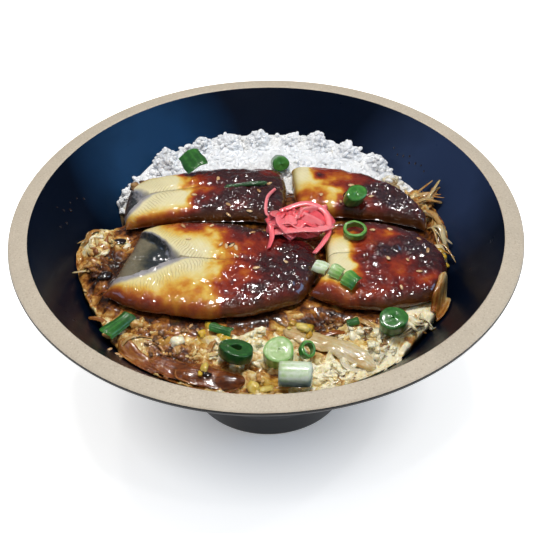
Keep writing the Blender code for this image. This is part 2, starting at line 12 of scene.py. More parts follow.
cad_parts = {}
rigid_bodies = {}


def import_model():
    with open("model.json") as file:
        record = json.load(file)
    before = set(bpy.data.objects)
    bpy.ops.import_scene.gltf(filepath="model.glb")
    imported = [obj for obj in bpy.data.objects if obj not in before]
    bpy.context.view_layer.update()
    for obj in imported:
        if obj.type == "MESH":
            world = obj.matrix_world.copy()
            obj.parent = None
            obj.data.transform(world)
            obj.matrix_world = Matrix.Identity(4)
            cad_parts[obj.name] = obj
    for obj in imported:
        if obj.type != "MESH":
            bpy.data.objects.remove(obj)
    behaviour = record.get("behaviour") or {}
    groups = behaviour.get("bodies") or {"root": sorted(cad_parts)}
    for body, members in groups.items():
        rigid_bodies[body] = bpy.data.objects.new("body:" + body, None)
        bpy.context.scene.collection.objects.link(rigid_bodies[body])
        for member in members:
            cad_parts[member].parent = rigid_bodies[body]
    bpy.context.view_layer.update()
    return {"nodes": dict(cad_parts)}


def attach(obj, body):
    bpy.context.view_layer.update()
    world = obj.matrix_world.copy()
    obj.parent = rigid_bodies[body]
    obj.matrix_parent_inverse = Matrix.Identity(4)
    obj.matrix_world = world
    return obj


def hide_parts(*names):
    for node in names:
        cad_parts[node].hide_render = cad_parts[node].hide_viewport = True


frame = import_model()
mm = 0.001
print("frame loaded")


# Camera, lights and floor

view = {
    "place": (0.000016, -0.462525, 0.472087),
    "right": (0.99975981, -0.01445231, -0.01647608),
    "up": (0.02191644, 0.65926939, 0.75158735),
    "back": (0.0, -0.75176792, 0.65942778),
    "lens": 99.08,
    "sensor": 36,
    "near": 0.01,
}
warmWhite = (1.0, 0.98, 0.95)

lamps = {
    # name: place, size, watts, colour
    "overheadKey": ((0.02, 0.00, 0.98), 0.10, 4.9, warmWhite),
    "ceilingSpotLeft": ((-0.26, -0.06, 0.90), 0.03, 0.45, warmWhite),
    "ceilingSpotRight": ((0.24, 0.10, 0.92), 0.03, 0.45, warmWhite),
    "ceilingSpotNear": ((0.05, -0.38, 0.86), 0.03, 0.40, warmWhite),
    "ceilingSpotFarLeft": ((-0.42, 0.24, 0.78), 0.03, 0.35, warmWhite),
    "ceilingSpotFarRight": ((0.46, -0.16, 0.76), 0.03, 0.35, warmWhite),
    "backLamp": ((-0.10, 0.42, 0.72), 0.04, 0.45, warmWhite),
    "frontLow": ((0.05, -1.00, 0.17), 0.40, 0.9, (1.0, 0.97, 0.92)),
    "rightWindow": ((0.80, -0.12, 0.50), 0.35, 1.2, (0.30, 0.58, 1.0)),
    "leftWindow": ((-0.80, -0.12, 0.50), 0.35, 0.8, (0.42, 0.62, 1.0)),
}
lampAim = (0, 0, 0.07)
room = {"colour": (0.94, 0.96, 1.0), "strength": 0.14}


def addCamera():
    lens = bpy.data.cameras.new("photoCamera")
    lens.lens = view["lens"]
    lens.sensor_width = view["sensor"]
    lens.clip_start = view["near"]
    camera = bpy.data.objects.new("photoCamera", lens)
    bpy.context.scene.collection.objects.link(camera)
    turned = Matrix((view["right"], view["up"], view["back"])).transposed().to_4x4()
    turned.translation = view["place"]
    camera.matrix_world = turned
    bpy.context.scene.camera = camera


def addLamps():
    for name, (place, size, watts, colour) in lamps.items():
        light = bpy.data.lights.new(name, "AREA")
        light.size, light.energy, light.color = size, watts, colour
        lamp = bpy.data.objects.new(name, light)
        lamp.location = place
        lamp.visible_glossy = name != "frontLow"  # it only fills the shade, and would show as a pale plate
        lamp.rotation_euler = (Vector(lampAim) - Vector(place)).to_track_quat("-Z", "Y").to_euler()
        bpy.context.scene.collection.objects.link(lamp)
    world = bpy.data.worlds.new("studio")
    world.use_nodes = True
    background = world.node_tree.nodes["Background"]
    background.inputs["Color"].default_value = (*room["colour"], 1)
    background.inputs["Strength"].default_value = room["strength"]
    bpy.context.scene.world = world
    bpy.context.scene.view_settings.view_transform = "Standard"


# Shader helpers

def newMaterial(name, roughness, coat=0.0, coatRoughness=0.1, subsurface=0.0, radius=(1, 1, 1),
                specular=0.35):
    made = bpy.data.materials.new(name)
    made.use_nodes = True
    shader = made.node_tree.nodes["Principled BSDF"]
    shader.inputs["Roughness"].default_value = roughness
    shader.inputs["Specular IOR Level"].default_value = specular
    shader.inputs["Coat Weight"].default_value = coat
    shader.inputs["Coat Roughness"].default_value = coatRoughness
    shader.inputs["Subsurface Weight"].default_value = subsurface
    shader.inputs["Subsurface Radius"].default_value = radius
    shader.inputs["Subsurface Scale"].default_value = 0.002
    return made, made.node_tree, shader


def addNode(tree, kind, **values):
    node = tree.nodes.new(kind)
    for key, value in values.items():
        if hasattr(node, key):
            setattr(node, key, value)
        else:
            node.inputs[key.replace("_", " ")].default_value = value
    return node


class Signal:
    # a number in a shader, so that a sum of numbers is written as a sum
    def __init__(self, socket):
        self.socket = socket

    def maths(self, operation, first, second=0.0):
        node = self.socket.id_data.nodes.new("ShaderNodeMath")
        node.operation = operation
        join(first, node.inputs[0])
        join(second, node.inputs[1])
        return Signal(node.outputs[0])

    def __add__(self, other):
        return self.maths("ADD", self, other)

    def __sub__(self, other):
        return self.maths("SUBTRACT", self, other)

    def __rsub__(self, other):
        return self.maths("SUBTRACT", other, self)

    def __mul__(self, other):
        return self.maths("MULTIPLY", self, other)

    def __truediv__(self, other):
        return self.maths("DIVIDE", self, other)

    def __rtruediv__(self, other):
        return self.maths("DIVIDE", other, self)

    def sine(self):
        return self.maths("SINE", self)

    def absolute(self):
        return self.maths("ABSOLUTE", self)

    def atMost(self, limit):
        return self.maths("MINIMUM", self, limit)

    def clamped(self):
        # keeps the last step between 0 and 1
        self.socket.node.use_clamp = True
        return self


def join(source, target):
    # a number, a colour or another node's result into a socket
    if isinstance(source, (int, float)):
        target.default_value = source
    elif isinstance(source, tuple):
        target.default_value = (*source, 1)
    else:
        target.id_data.links.new(source.socket if isinstance(source, Signal) else source, target)


def colourRamp(factor, stops):
    node = factor.socket.id_data.nodes.new("ShaderNodeValToRGB")
    bar = node.color_ramp
    while len(bar.elements) < len(stops):
        bar.elements.new(0.5)
    for element, (place, colour) in zip(bar.elements, stops):
        element.position, element.color = place, (*colour, 1)
    join(factor, node.inputs["Fac"])
    return node.outputs["Color"]


def mixColour(factor, first, second):
    node = factor.socket.id_data.nodes.new("ShaderNodeMix")
    node.data_type = "RGBA"
    # a mix node keeps its factor first and its two colours seventh and eighth
    for value, k in ((factor, 0), (first, 6), (second, 7)):
        join(value, node.inputs[k])
    return node.outputs[2]


def readAttribute(tree, name):
    return Signal(addNode(tree, "ShaderNodeAttribute", attribute_name=name).outputs["Fac"])


def objectPlace(tree):
    return addNode(tree, "ShaderNodeTexCoord").outputs["Object"]


def addSocket(group, name, way, value=None, kind="Float"):
    socket = group.interface.new_socket(name, in_out=way, socket_type="NodeSocket" + kind)
    if value is not None:
        socket.default_value = value


def makeMottleGroup():
    # uneven tone at a given size, 0 to 1
    group = bpy.data.node_groups.new("unevenTone", "ShaderNodeTree")
    addSocket(group, "Size", "INPUT", 0.004)
    addSocket(group, "Contrast", "INPUT", 1.0)
    addSocket(group, "Tone", "OUTPUT")
    given, result = group.nodes.new("NodeGroupInput"), group.nodes.new("NodeGroupOutput")
    noise = addNode(group, "ShaderNodeTexNoise", Detail=3.0, Roughness=0.55)
    join(objectPlace(group), noise.inputs["Vector"])
    join(1.0 / Signal(given.outputs["Size"]), noise.inputs["Scale"])
    spread = (Signal(noise.outputs[0]) - 0.5) * Signal(given.outputs["Contrast"])
    join((spread + 0.5).clamped(), result.inputs["Tone"])
    return group


def makeBeadGroup():
    # small wet domes over a softer unevenness, as a height
    group = bpy.data.node_groups.new("wetBeads", "ShaderNodeTree")
    addSocket(group, "Size", "INPUT", 0.001)
    addSocket(group, "Height", "OUTPUT")
    given, result = group.nodes.new("NodeGroupInput"), group.nodes.new("NodeGroupOutput")
    scale = 1.0 / Signal(given.outputs["Size"])
    beads = addNode(group, "ShaderNodeTexVoronoi", feature="SMOOTH_F1", Smoothness=1.0)
    rough = addNode(group, "ShaderNodeTexNoise", Detail=0.6)
    for node, fineness in ((beads, scale), (rough, scale * 0.6)):
        join(objectPlace(group), node.inputs["Vector"])
        join(fineness, node.inputs["Scale"])
    domes = 1.0 - Signal(beads.outputs["Distance"])
    join(domes + Signal(rough.outputs[0]), result.inputs["Height"])
    return group


mottleGroup = makeMottleGroup()
beadGroup = makeBeadGroup()


def unevenTone(tree, size, contrast=1.0):
    node = addNode(tree, "ShaderNodeGroup", node_tree=mottleGroup, Size=size, Contrast=contrast)
    return Signal(node.outputs["Tone"])


def wetBeads(tree, size):
    return Signal(addNode(tree, "ShaderNodeGroup", node_tree=beadGroup, Size=size).outputs["Height"])


def addBump(shader, height, distance, strength=1.0):
    bump = addNode(shader.id_data, "ShaderNodeBump", Strength=strength, Distance=distance)
    join(height, bump.inputs["Height"])
    join(bump.outputs[0], shader.inputs["Normal"])


# Number fields over the table plane, in mm

def ease(value):
    value = np.clip(value, 0.0, 1.0)
    return value * value * (3 - 2 * value)


def latticeValue(ix, iy, seed):
    mixed = (ix * 374761393 + iy * 668265263 + seed * 144665) & 0xFFFFFFFF
    mixed = ((mixed ^ (mixed >> 13)) * 1274126177) & 0xFFFFFFFF
    return ((mixed ^ (mixed >> 16)) & 0xFFFF) / 65535.0


def softField(x, y, size, seed):
    # smooth random heights, -1 to 1
    px, py = x / size, y / size
    ix, iy = np.floor(px).astype(np.int64), np.floor(py).astype(np.int64)
    fx, fy = ease(px - ix), ease(py - iy)
    near = latticeValue(ix, iy, seed) * (1 - fx) + latticeValue(ix + 1, iy, seed) * fx
    far = latticeValue(ix, iy + 1, seed) * (1 - fx) + latticeValue(ix + 1, iy + 1, seed) * fx
    return 2 * (near * (1 - fy) + far * fy) - 1


def roughField(x, y, size, seed, layers=3):
    total = 0
    for k in range(layers):
        turn = 0.9 * k
        tx = x * math.cos(turn) - y * math.sin(turn)
        ty = x * math.sin(turn) + y * math.cos(turn)
        total = total + softField(tx, ty, size / 2 ** k, seed + 7 * k) / 2 ** k
    return total


def scatterCells(x, y, size, seed):
    # cells round scattered points: distance to the nearest point and gap to the cell's border, both in
    # cells, then that point's own number, and mm from it along x and y
    px, py = x / size, y / size
    ix, iy = np.floor(px).astype(np.int64), np.floor(py).astype(np.int64)
    best, second = np.full(np.shape(px), 9.0), np.full(np.shape(px), 9.0)
    own, ox, oy = (np.zeros(np.shape(px)) for _ in range(3))
    for dx in (-1, 0, 1):
        for dy in (-1, 0, 1):
            jx, jy = ix + dx, iy + dy
            ex = jx + latticeValue(jx, jy, seed) - px
            ey = jy + latticeValue(jx, jy, seed + 1) - py
            away = np.hypot(ex, ey)
            closer = away < best
            second = np.where(closer, best, np.minimum(second, away))
            own = np.where(closer, latticeValue(jx, jy, seed + 2), own)
            ox, oy = np.where(closer, ex, ox), np.where(closer, ey, oy)
            best = np.where(closer, away, best)
    return best, second - best, own, ox * size, oy * size


def humps(x, y, spots):
    # sum of soft spots: x, y, half width, half depth, amount
    total = np.zeros(np.shape(x))
    for sx, sy, wide, deep, amount in spots:
        total = total + amount * np.exp(-((x - sx) / wide) ** 2 - ((y - sy) / deep) ** 2)
    return total


# The bowl and the mound of food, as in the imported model

dish = {
    "rimRadius": 105.0, "rimHeight": 89.5, "lipWidth": 8.0, "lipRise": 0.9, "lipThick": 2.8,
    "wallThick": 3.2, "floorRadius": 28.0, "floorHeight": 9.0, "floorFillet": 13.0,
    "footRadius": 34.5, "footHeight": 11.0, "footWall": 4.5, "footRecess": 5.5, "steps": 240,
}
mound = {"edge": 72.5, "crown": 3.5, "eggThick": 7.5, "riceBack": 73.5, "riceCrown": 2.5}
wallTop = (dish["rimRadius"] - dish["lipWidth"], dish["rimHeight"] + dish["lipRise"])
wallRun = wallTop[0] - dish["floorRadius"]
wallRise = wallTop[1] - dish["floorHeight"]


def wallRadius(height):
    return wallTop[0] - (wallTop[1] - height) * wallRun / wallRise


def wallHeight(radius):
    return wallTop[1] - (wallTop[0] - radius) * wallRise / wallRun


def bedHeight(x, y):
    reach = np.hypot(x, y) / wallRadius(mound["edge"])
    return mound["edge"] + mound["crown"] * (1 - reach * reach)


def riceHeight(x, y):
    underEgg = bedHeight(x, y) - mound["eggThick"]
    ramp = underEgg + (mound["eggThick"] - 1.0) * ease((y - 22) / 22)
    behind = mound["riceBack"] + mound["riceCrown"] * (1 - ((x + 2) / 62) ** 2)
    behind = behind - 1.5 * np.abs((y - 64) / 18) ** 3
    return ramp + np.maximum(0, behind - ramp) * ease((y - 48) / 12)


# Mesh helpers

def finishObject(name, mesh, *materials):
    mesh.name = name
    made = bpy.data.objects.new(name, mesh)
    bpy.context.scene.collection.objects.link(made)
    for material in materials:
        made.data.materials.append(material)
    return made


def meshFromArrays(name, points, faces):
    # points in mm
    mesh = bpy.data.meshes.new(name)
    mesh.from_pydata((np.asarray(points) * mm).tolist(), [], [list(face) for face in faces])
    mesh.shade_smooth()
    return mesh


def meshFromSolid(name, solid):
    mesh = bpy.data.meshes.new(name)
    solid.to_mesh(mesh)
    solid.free()
    mesh.shade_smooth()
    return mesh


def listsFromSolid(solid):
    lists = [v.co.copy() for v in solid.verts], [[v.index for v in face.verts] for face in solid.faces]
    solid.free()
    return lists


def setNumbers(mesh, name, values):
    layer = mesh.attributes.new(name, "FLOAT", "POINT")
    layer.data.foreach_set("value", np.asarray(values, dtype=np.float32).ravel())


def sheetFaces(rows, columns):
    # quads of a closed slab: an upper grid, a lower grid and the band that joins their edges
    upper = np.arange(rows * columns).reshape(rows, columns)
    lower = upper + rows * columns
    faces = []

    def quads(grid, flip):
        a, b, c, d = grid[:-1, :-1], grid[1:, :-1], grid[1:, 1:], grid[:-1, 1:]
        order = (a, d, c, b) if flip else (a, b, c, d)
        return np.stack([q.ravel() for q in order], axis=1).tolist()

    faces += quads(upper, False) + quads(lower, True)
    ring = [*upper[0, :-1], *upper[:-1, -1], *upper[-1, :0:-1], *upper[:0:-1, 0]]
    for a, b in zip(ring, ring[1:] + ring[:1]):
        faces.append((a, b, b + rows * columns, a + rows * columns))
    return faces


def pointRows(x, y, z):
    return np.stack([x, y, z], -1).reshape(-1, 3)


def slab(name, x, y, top, bottom):
    points = np.concatenate([pointRows(x, y, top), pointRows(x, y, bottom)])
    mesh = meshFromArrays(name, points, sheetFaces(*x.shape))
    faceOutward(mesh)
    return mesh


def faceOutward(mesh):
    solid = bmesh.new()
    solid.from_mesh(mesh)
    bmesh.ops.recalc_face_normals(solid, faces=solid.faces)
    solid.to_mesh(mesh)
    solid.free()


def discGrid(outline, centre, rings, steps, power=1.0):
    # x, y and share of the way out for a round plan; the first row is the middle
    angles = np.arange(steps) * 2 * math.pi / steps
    edge = np.array([outline(a) for a in angles])
    share = (np.arange(1, rings + 1) / rings) ** power
    x = centre[0] + share[:, None] * (edge[None, :, 0] - centre[0])
    y = centre[1] + share[:, None] * (edge[None, :, 1] - centre[1])
    return x, y, np.broadcast_to(share[:, None], x.shape)


def lowRings(rings):
    # rows of the underside of a disc, few because it is hidden
    return sorted({0, rings // 4, rings // 2, 3 * rings // 4, rings - 1})


def bothSides(values):
    return np.concatenate([values.ravel(), values[lowRings(values.shape[0])].ravel(), [values.mean()] * 2])


def discMesh(name, x, y, centre, top, bottom, topMiddle, bottomMiddle):
    rings, steps = x.shape
    rows = lowRings(rings)
    points = np.concatenate([
        pointRows(x, y, top), pointRows(x[rows], y[rows], bottom[rows]),
        [[*centre, topMiddle], [*centre, bottomMiddle]],
    ])

    def quads(index):
        after = np.roll(index, -1, axis=1)
        return np.stack([q.ravel() for q in (index[:-1], index[1:], after[1:], after[:-1])], axis=1).tolist()

    upper = np.arange(rings * steps).reshape(rings, steps)
    lower = np.arange(len(rows) * steps).reshape(len(rows), steps) + rings * steps
    faces = quads(upper) + quads(lower)
    middle = (rings + len(rows)) * steps
    for k in range(steps):
        n = (k + 1) % steps
        faces += [(middle, upper[0, k], upper[0, n]), (middle + 1, lower[0, n], lower[0, k])]
        faces.append((upper[-1, k], lower[-1, k], lower[-1, n], upper[-1, n]))
    mesh = meshFromArrays(name, points, faces)
    faceOutward(mesh)
    return mesh


def closedSpline(points, angle):
    count = len(points)
    place = (angle / (2 * math.pi) % 1) * count
    i = int(place) % count
    t = place - int(place)
    p0, p1, p2, p3 = (points[(i + k) % count] for k in (-1, 0, 1, 2))
    return [
        0.5 * (2 * b + (c - a) * t + (2 * a - 5 * b + 4 * c - d) * t * t + (3 * b - a - 3 * c + d) * t ** 3)
        for a, b, c, d in zip(p0, p1, p2, p3)
    ]


def alongPath(points, steps):
    # points on a smooth line through the given ones
    count = len(points) - 1
    line = []
    for i in range(steps + 1):
        place = min(i / steps * count, count - 1e-6)
        k, t = int(place), place - int(place)
        p0, p1, p2, p3 = (Vector(points[min(count, max(0, k + n))]) for n in (-1, 0, 1, 2))
        line.append(0.5 * (2 * p1 + (p2 - p0) * t + (2 * p0 - 5 * p1 + 4 * p2 - p3) * t * t
                           + (3 * p1 - p0 - 3 * p2 + p3) * t ** 3))
    return line


class Ground:
    # tops of finished pieces, in mm, for what is laid on them
    def __init__(self, *pieces):
        points, faces = [], []
        for piece in pieces:
            start = len(points)
            points += [v.co / mm for v in piece.data.vertices]
            faces += [[start + i for i in polygon.vertices] for polygon in piece.data.polygons]
        self.tree = BVHTree.FromPolygons(points, faces)

    def top(self, x, y):
        hit = self.tree.ray_cast(Vector((x, y, 200)), Vector((0, 0, -1)))[0]
        return hit.z if hit else 0.0

    def around(self, x, y, reach):
        turns = [k * math.pi / 4 for k in range(8)]
        spots = [(0, 0)] + [(reach * math.cos(a), reach * math.sin(a)) for a in turns]
        return max(self.top(x + dx, y + dy) for dx, dy in spots)


def ribbon(points, width, thick, steps, sides=8, twist=0.0, taper=0.45):
    # a soft strip of rounded section along a smooth line, closed at both ends
    line = alongPath(points, steps)
    rows = []
    side = Vector((0, 0, 1)).cross(line[1] - line[0])
    side = side.normalized() if side.length > 1e-6 else Vector((1, 0, 0))
    for i, place in enumerate(line):
        ahead = (line[min(i + 1, steps)] - line[max(i - 1, 0)]).normalized()
        side = (side - ahead * side.dot(ahead)).normalized()
        up = ahead.cross(side)
        turned = twist * i / steps
        across = side * math.cos(turned) + up * math.sin(turned)
        lift = up * math.cos(turned) - side * math.sin(turned)
        grow = 1 - taper * abs(2 * i / steps - 1) ** 4
        row = []
        for k in range(sides):
            a = 2 * math.pi * k / sides
            c, s = math.cos(a), math.sin(a)
            c, s = math.copysign(abs(c) ** 0.7, c), math.copysign(abs(s) ** 0.7, s)
            row.append(place + across * (c * width / 2 * grow) + lift * (s * thick / 2 * grow))
        rows.append(row)
    points = [p for row in rows for p in row]
    faces = []
    for i in range(steps):
        for k in range(sides):
            a, b = i * sides + k, i * sides + (k + 1) % sides
            faces.append((a, b, b + sides, a + sides))
    points += [line[0], line[-1]]
    for k in range(sides):
        faces.append((len(points) - 2, (k + 1) % sides, k))
        last = steps * sides
        faces.append((len(points) - 1, last + k, last + (k + 1) % sides))
    return points, faces


def mergeParts(name, parts, numbers):
    # one mesh from several point and face lists, with a number of its own for each part
    points, faces, tones = [], [], []
    for (partPoints, partFaces), tone in zip(parts, numbers):
        start = len(points)
        points += [tuple(p) for p in partPoints]
        faces += [[start + i for i in face] for face in partFaces]
        tones += [tone] * len(partPoints)
    mesh = meshFromArrays(name, points, faces)
    setNumbers(mesh, "tone", tones)
    faceOutward(mesh)
    return mesh


# Scattering: one Geometry Nodes tree sets small shapes on points that carry their own turn and size

def makeScatterTree():
    tree = bpy.data.node_groups.new("setPieces", "GeometryNodeTree")
    addSocket(tree, "Points", "INPUT", kind="Geometry")
    addSocket(tree, "Shapes", "INPUT", kind="Collection")
    addSocket(tree, "Size", "INPUT", 1.0)
    addSocket(tree, "Finish", "INPUT", kind="Material")
    addSocket(tree, "Pieces", "OUTPUT", kind="Geometry")
    given, result = tree.nodes.new("NodeGroupInput"), tree.nodes.new("NodeGroupOutput")
    shapes = tree.nodes.new("GeometryNodeCollectionInfo")
    shapes.inputs["Separate Children"].default_value = True
    shapes.inputs["Reset Children"].default_value = True
    place = tree.nodes.new("GeometryNodeInstanceOnPoints")
    place.inputs["Pick Instance"].default_value = True
    numbers = {}
    for name, kind in (("pick", "INT"), ("turn", "FLOAT_VECTOR"), ("grow", "FLOAT_VECTOR")):
        numbers[name] = tree.nodes.new("GeometryNodeInputNamedAttribute")
        numbers[name].data_type = kind
        numbers[name].inputs["Name"].default_value = name
    scale = tree.nodes.new("ShaderNodeVectorMath")
    scale.operation = "SCALE"
    euler = tree.nodes.new("FunctionNodeEulerToRotation")
    real = tree.nodes.new("GeometryNodeRealizeInstances")
    finish = tree.nodes.new("GeometryNodeSetMaterial")
    join(given.outputs["Shapes"], shapes.inputs["Collection"])
    join(given.outputs["Points"], place.inputs["Points"])
    join(shapes.outputs[0], place.inputs["Instance"])
    join(numbers["pick"].outputs["Attribute"], place.inputs["Instance Index"])
    join(numbers["turn"].outputs["Attribute"], euler.inputs[0])
    join(euler.outputs[0], place.inputs["Rotation"])
    join(numbers["grow"].outputs["Attribute"], scale.inputs[0])
    join(given.outputs["Size"], scale.inputs["Scale"])
    join(scale.outputs[0], place.inputs["Scale"])
    join(place.outputs[0], real.inputs[0])
    join(real.outputs[0], finish.inputs["Geometry"])
    join(given.outputs["Finish"], finish.inputs["Material"])
    join(finish.outputs[0], result.inputs[0])
    return tree


scatterTree = makeScatterTree()


def scatter(name, shapes, spots, material, size=1.0):
    # spots: (place, turn, grow, pick, tone), places in mm
    holder = bpy.data.collections.new("shapes")
    for k, mesh in enumerate(shapes):
        holder.objects.link(bpy.data.objects.new(f"shape{k:02d}", mesh))
    base = bpy.data.meshes.new(name)
    base.from_pydata([tuple(v * mm for v in spot[0]) for spot in spots], [], [])
    for key, column in (("turn", 1), ("grow", 2)):
        layer = base.attributes.new(key, "FLOAT_VECTOR", "POINT")
        layer.data.foreach_set("vector", [v for spot in spots for v in spot[column]])
    layer = base.attributes.new("pick", "INT", "POINT")
    layer.data.foreach_set("value", [spot[3] for spot in spots])
    setNumbers(base, "tone", [spot[4] for spot in spots])
    piece = finishObject(name, base)
    setter = piece.modifiers.new("setPieces", "NODES")
    setter.node_group = scatterTree
    sockets = {s.name: s.identifier for s in scatterTree.interface.items_tree if s.in_out == "INPUT"}
    setter[sockets["Shapes"]] = holder
    setter[sockets["Size"]] = size
    setter[sockets["Finish"]] = material
    graph = bpy.context.evaluated_depsgraph_get()
    made = bpy.data.meshes.new_from_object(piece.evaluated_get(graph))
    piece.modifiers.remove(setter)
    piece.data = made
    made.shade_smooth()
    for shape in list(holder.objects):
        bpy.data.objects.remove(shape)
    bpy.data.collections.remove(holder)
    return piece


def blobMesh(name, radius, rough, seed, detail=2, squash=1.0):
    # a lumpy rounded piece, in mm
    draw = random.Random(seed)
    lumps = [(Vector([draw.gauss(0, 1) for _ in range(3)]).normalized(), draw.uniform(0.2, 1))
             for _ in range(13)]
    solid = bmesh.new()
    bmesh.ops.create_icosphere(solid, subdivisions=detail, radius=1)
    for vert in solid.verts:
        way = vert.co.normalized()
        swell = sum(max(0, way.dot(lump) - 0.55) * much * 1.6 for lump, much in lumps)
        vert.co = way * radius * (1 - rough * 0.5 + rough * swell) * mm
        vert.co.z *= squash
    return meshFromSolid(name, solid)


addCamera()
addLamps()
print("camera and lamps placed")


# Bowl

bowlLook = {
    "inside": (0.0012, 0.0038, 0.0115),
    # painted sheen: spots where the glaze's colour is mixed towards blue in place of the lamps' reflections:
    # x, y, reach in metres, colour
    "paintedSheenSpots": (
        (-0.050, 0.066, 0.044, (0.008, 0.038, 0.100)),
        (0.075, 0.040, 0.050, (0.018, 0.032, 0.078)),
    ),
    "outside": (0.004, 0.004, 0.005),
    "band": (0.56, 0.48, 0.37),
    "speck": (0.34, 0.25, 0.17),
    "paleSpeck": (0.78, 0.70, 0.58),
    "speckSize": 0.0007,
    "grainHeight": 0.00003,
}


def arcPoints(centre, radius, first, last, steps):
    angles = [math.radians(first + (last - first) * i / steps) for i in range(steps + 1)]
    return [(centre[0] + radius * math.cos(a), centre[1] + radius * math.sin(a)) for a in angles]


def bowlProfile():
    slope = math.atan2(wallRise, wallRun)
    bend = dish["floorFillet"]
    centre = (dish["floorRadius"] - bend * math.tan(slope / 2), dish["floorHeight"] + bend)
    edge = dish["lipThick"] / 2
    wallOut = dish["wallThick"] / math.sin(slope)
    underLip = dish["rimHeight"] - dish["lipThick"] - 0.4
    foot, footHigh = dish["footRadius"], dish["footHeight"]
    inner = foot - dish["footWall"]
    points = [(0, dish["floorHeight"])] + arcPoints(centre, bend, -90, -90 + math.degrees(slope), 8)
    points += [(wallRadius(z), z) for z in np.linspace(30, wallTop[1] - 0.5, 10)]
    bandStart = len(points)
    points += [wallTop, (wallTop[0] + 0.6, wallTop[1] + 0.25), (wallTop[0] + 1.4, wallTop[1] + 0.2)]
    points += arcPoints((dish["rimRadius"] - edge, dish["rimHeight"] - edge), edge, 85, -90, 10)
    bandEnd = bandStart + 3 + 3
    points += [
        (wallRadius(underLip) + wallOut + 1.6, underLip),
        (wallRadius(underLip - 1) + wallOut + 0.4, underLip - 1),
    ]
    points += [(wallRadius(z) + wallOut, z) for z in np.linspace(underLip - 2.4, footHigh + 6, 10)]
    points += [
        (foot + 2.6, footHigh + 2.2), (foot + 1.6, footHigh), (foot + 0.4, 1.2), (foot, 0.35),
        (foot - 0.6, 0), (inner + 0.6, 0), (inner, 0.3), (inner - 0.4, 1.0),
        (inner - 1.6, dish["footRecess"]), (0, dish["footRecess"]),
    ]
    return points, bandStart, bandEnd


def shade(colour, much):
    return tuple(c * much for c in colour)


def bowlMaterials():
    look = bowlLook
    navy, tree, shader = newMaterial("navySatin", 0.30, specular=0.10)
    tone = unevenTone(tree, 0.018, 0.7)
    glaze = colourRamp(tone, [(0.2, shade(look["inside"], 0.8)), (0.8, shade(look["inside"], 1.25))])
    coords = objectPlace(tree)
    # painted sheen: round each spot the glaze turns bluer, standing in for the lamps' reflections on the
    # back wall
    for x, y, reach, blue in look["paintedSheenSpots"]:
        away = addNode(tree, "ShaderNodeVectorMath", operation="DISTANCE")
        join(coords, away.inputs[0])
        away.inputs[1].default_value = (x, y, 0.075)
        near = (1.0 - Signal(away.outputs["Value"]) / reach).clamped()
        near = ((near * 1.6).atMost(1.0) * (tone + 0.5)).clamped()
        glaze = mixColour(near, glaze, blue)
    join(glaze, shader.inputs["Base Color"])
    join(unevenTone(tree, 0.006, 1.0) * 0.12 + 0.24,
         shader.inputs["Roughness"])
    addBump(shader, unevenTone(tree, 0.0006, 1.0), look["grainHeight"], 0.5)

    black, tree, shader = newMaterial("blackSatin", 0.30, specular=0.3)
    tone = unevenTone(tree, 0.02, 1.0)
    outside = colourRamp(tone, [(0.2, look["outside"]), (0.9, shade(look["outside"], 1.8))])
    join(outside, shader.inputs["Base Color"])
    addBump(shader, unevenTone(tree, 0.0007, 1.0), look["grainHeight"], 0.5)

    band, tree, shader = newMaterial("speckledBand", 0.55)
    grain = unevenTone(tree, look["speckSize"], 2.2)
    tone = unevenTone(tree, 0.012, 1.0)
    base = colourRamp(tone, [(0.25, shade(look["band"], 0.93)), (0.75, shade(look["band"], 1.05))])
    speck = ((grain - 0.62).clamped() * 1.6).clamped()
    pale = ((0.36 - grain).clamped() * 1.2).clamped()
    speckled = mixColour(speck, base, look["speck"])
    join(mixColour(pale, speckled, look["paleSpeck"]), shader.inputs["Base Color"])
    addBump(shader, grain, 0.00005, 0.6)
    return navy, band, black


def buildBowl():
    profile, bandStart, bandEnd = bowlProfile()
    solid = bmesh.new()
    steps = dish["steps"]
    rows = [[solid.verts.new((r * mm * math.cos(a), r * mm * math.sin(a), z * mm))
             for a in (2 * math.pi * k / steps for k in range(steps))] if r > 0
            else [solid.verts.new((0, 0, z * mm))] for r, z in profile]
    for i in range(len(rows) - 1):
        finish = 0 if i < bandStart else 1 if i < bandEnd else 2
        for k in range(steps):
            ring = [rows[i][k % len(rows[i])], rows[i][(k + 1) % steps % len(rows[i])],
                    rows[i + 1][(k + 1) % steps % len(rows[i + 1])], rows[i + 1][k % len(rows[i + 1])]]
            corners = list(dict.fromkeys(ring))
            face = solid.faces.new(corners)
            face.material_index = finish
    bmesh.ops.recalc_face_normals(solid, faces=solid.faces)
    mesh = meshFromSolid("bowlShell", solid)
    mesh.set_sharp_from_angle(angle=math.radians(42))
    return finishObject("bowlShell", mesh, *bowlMaterials())


bowl = buildBowl()
print("bowl turned")


# Fillets

filletPlans = {
    # near left, near middle, near right, right middle, far right, far middle, far left, left middle
    "eel_front_left": (
        (-66, -27), (-27, -42.0), (12, -35.5), (21, -19), (20, -3), (-20, 12.5), (-53, 10), (-57, -6)),
    "eel_front_right": (
        (17, -30.5), (41, -39.5), (69, -31), (73, -13), (65, 3), (40, 12), (23.5, 3), (24.5, -14)),
    "eel_back_left": (
        (-59, 13.5), (-25, 16.5), (8, 13.5), (9.5, 30), (8, 48), (-24, 50.5), (-57, 43), (-60, 27)),
    "eel_back_right": (
        (14, 17.5), (44, 16.5), (67, 9.5), (66, 21), (52, 37), (32, 48.5), (12, 50.5), (12.5, 34)),
}
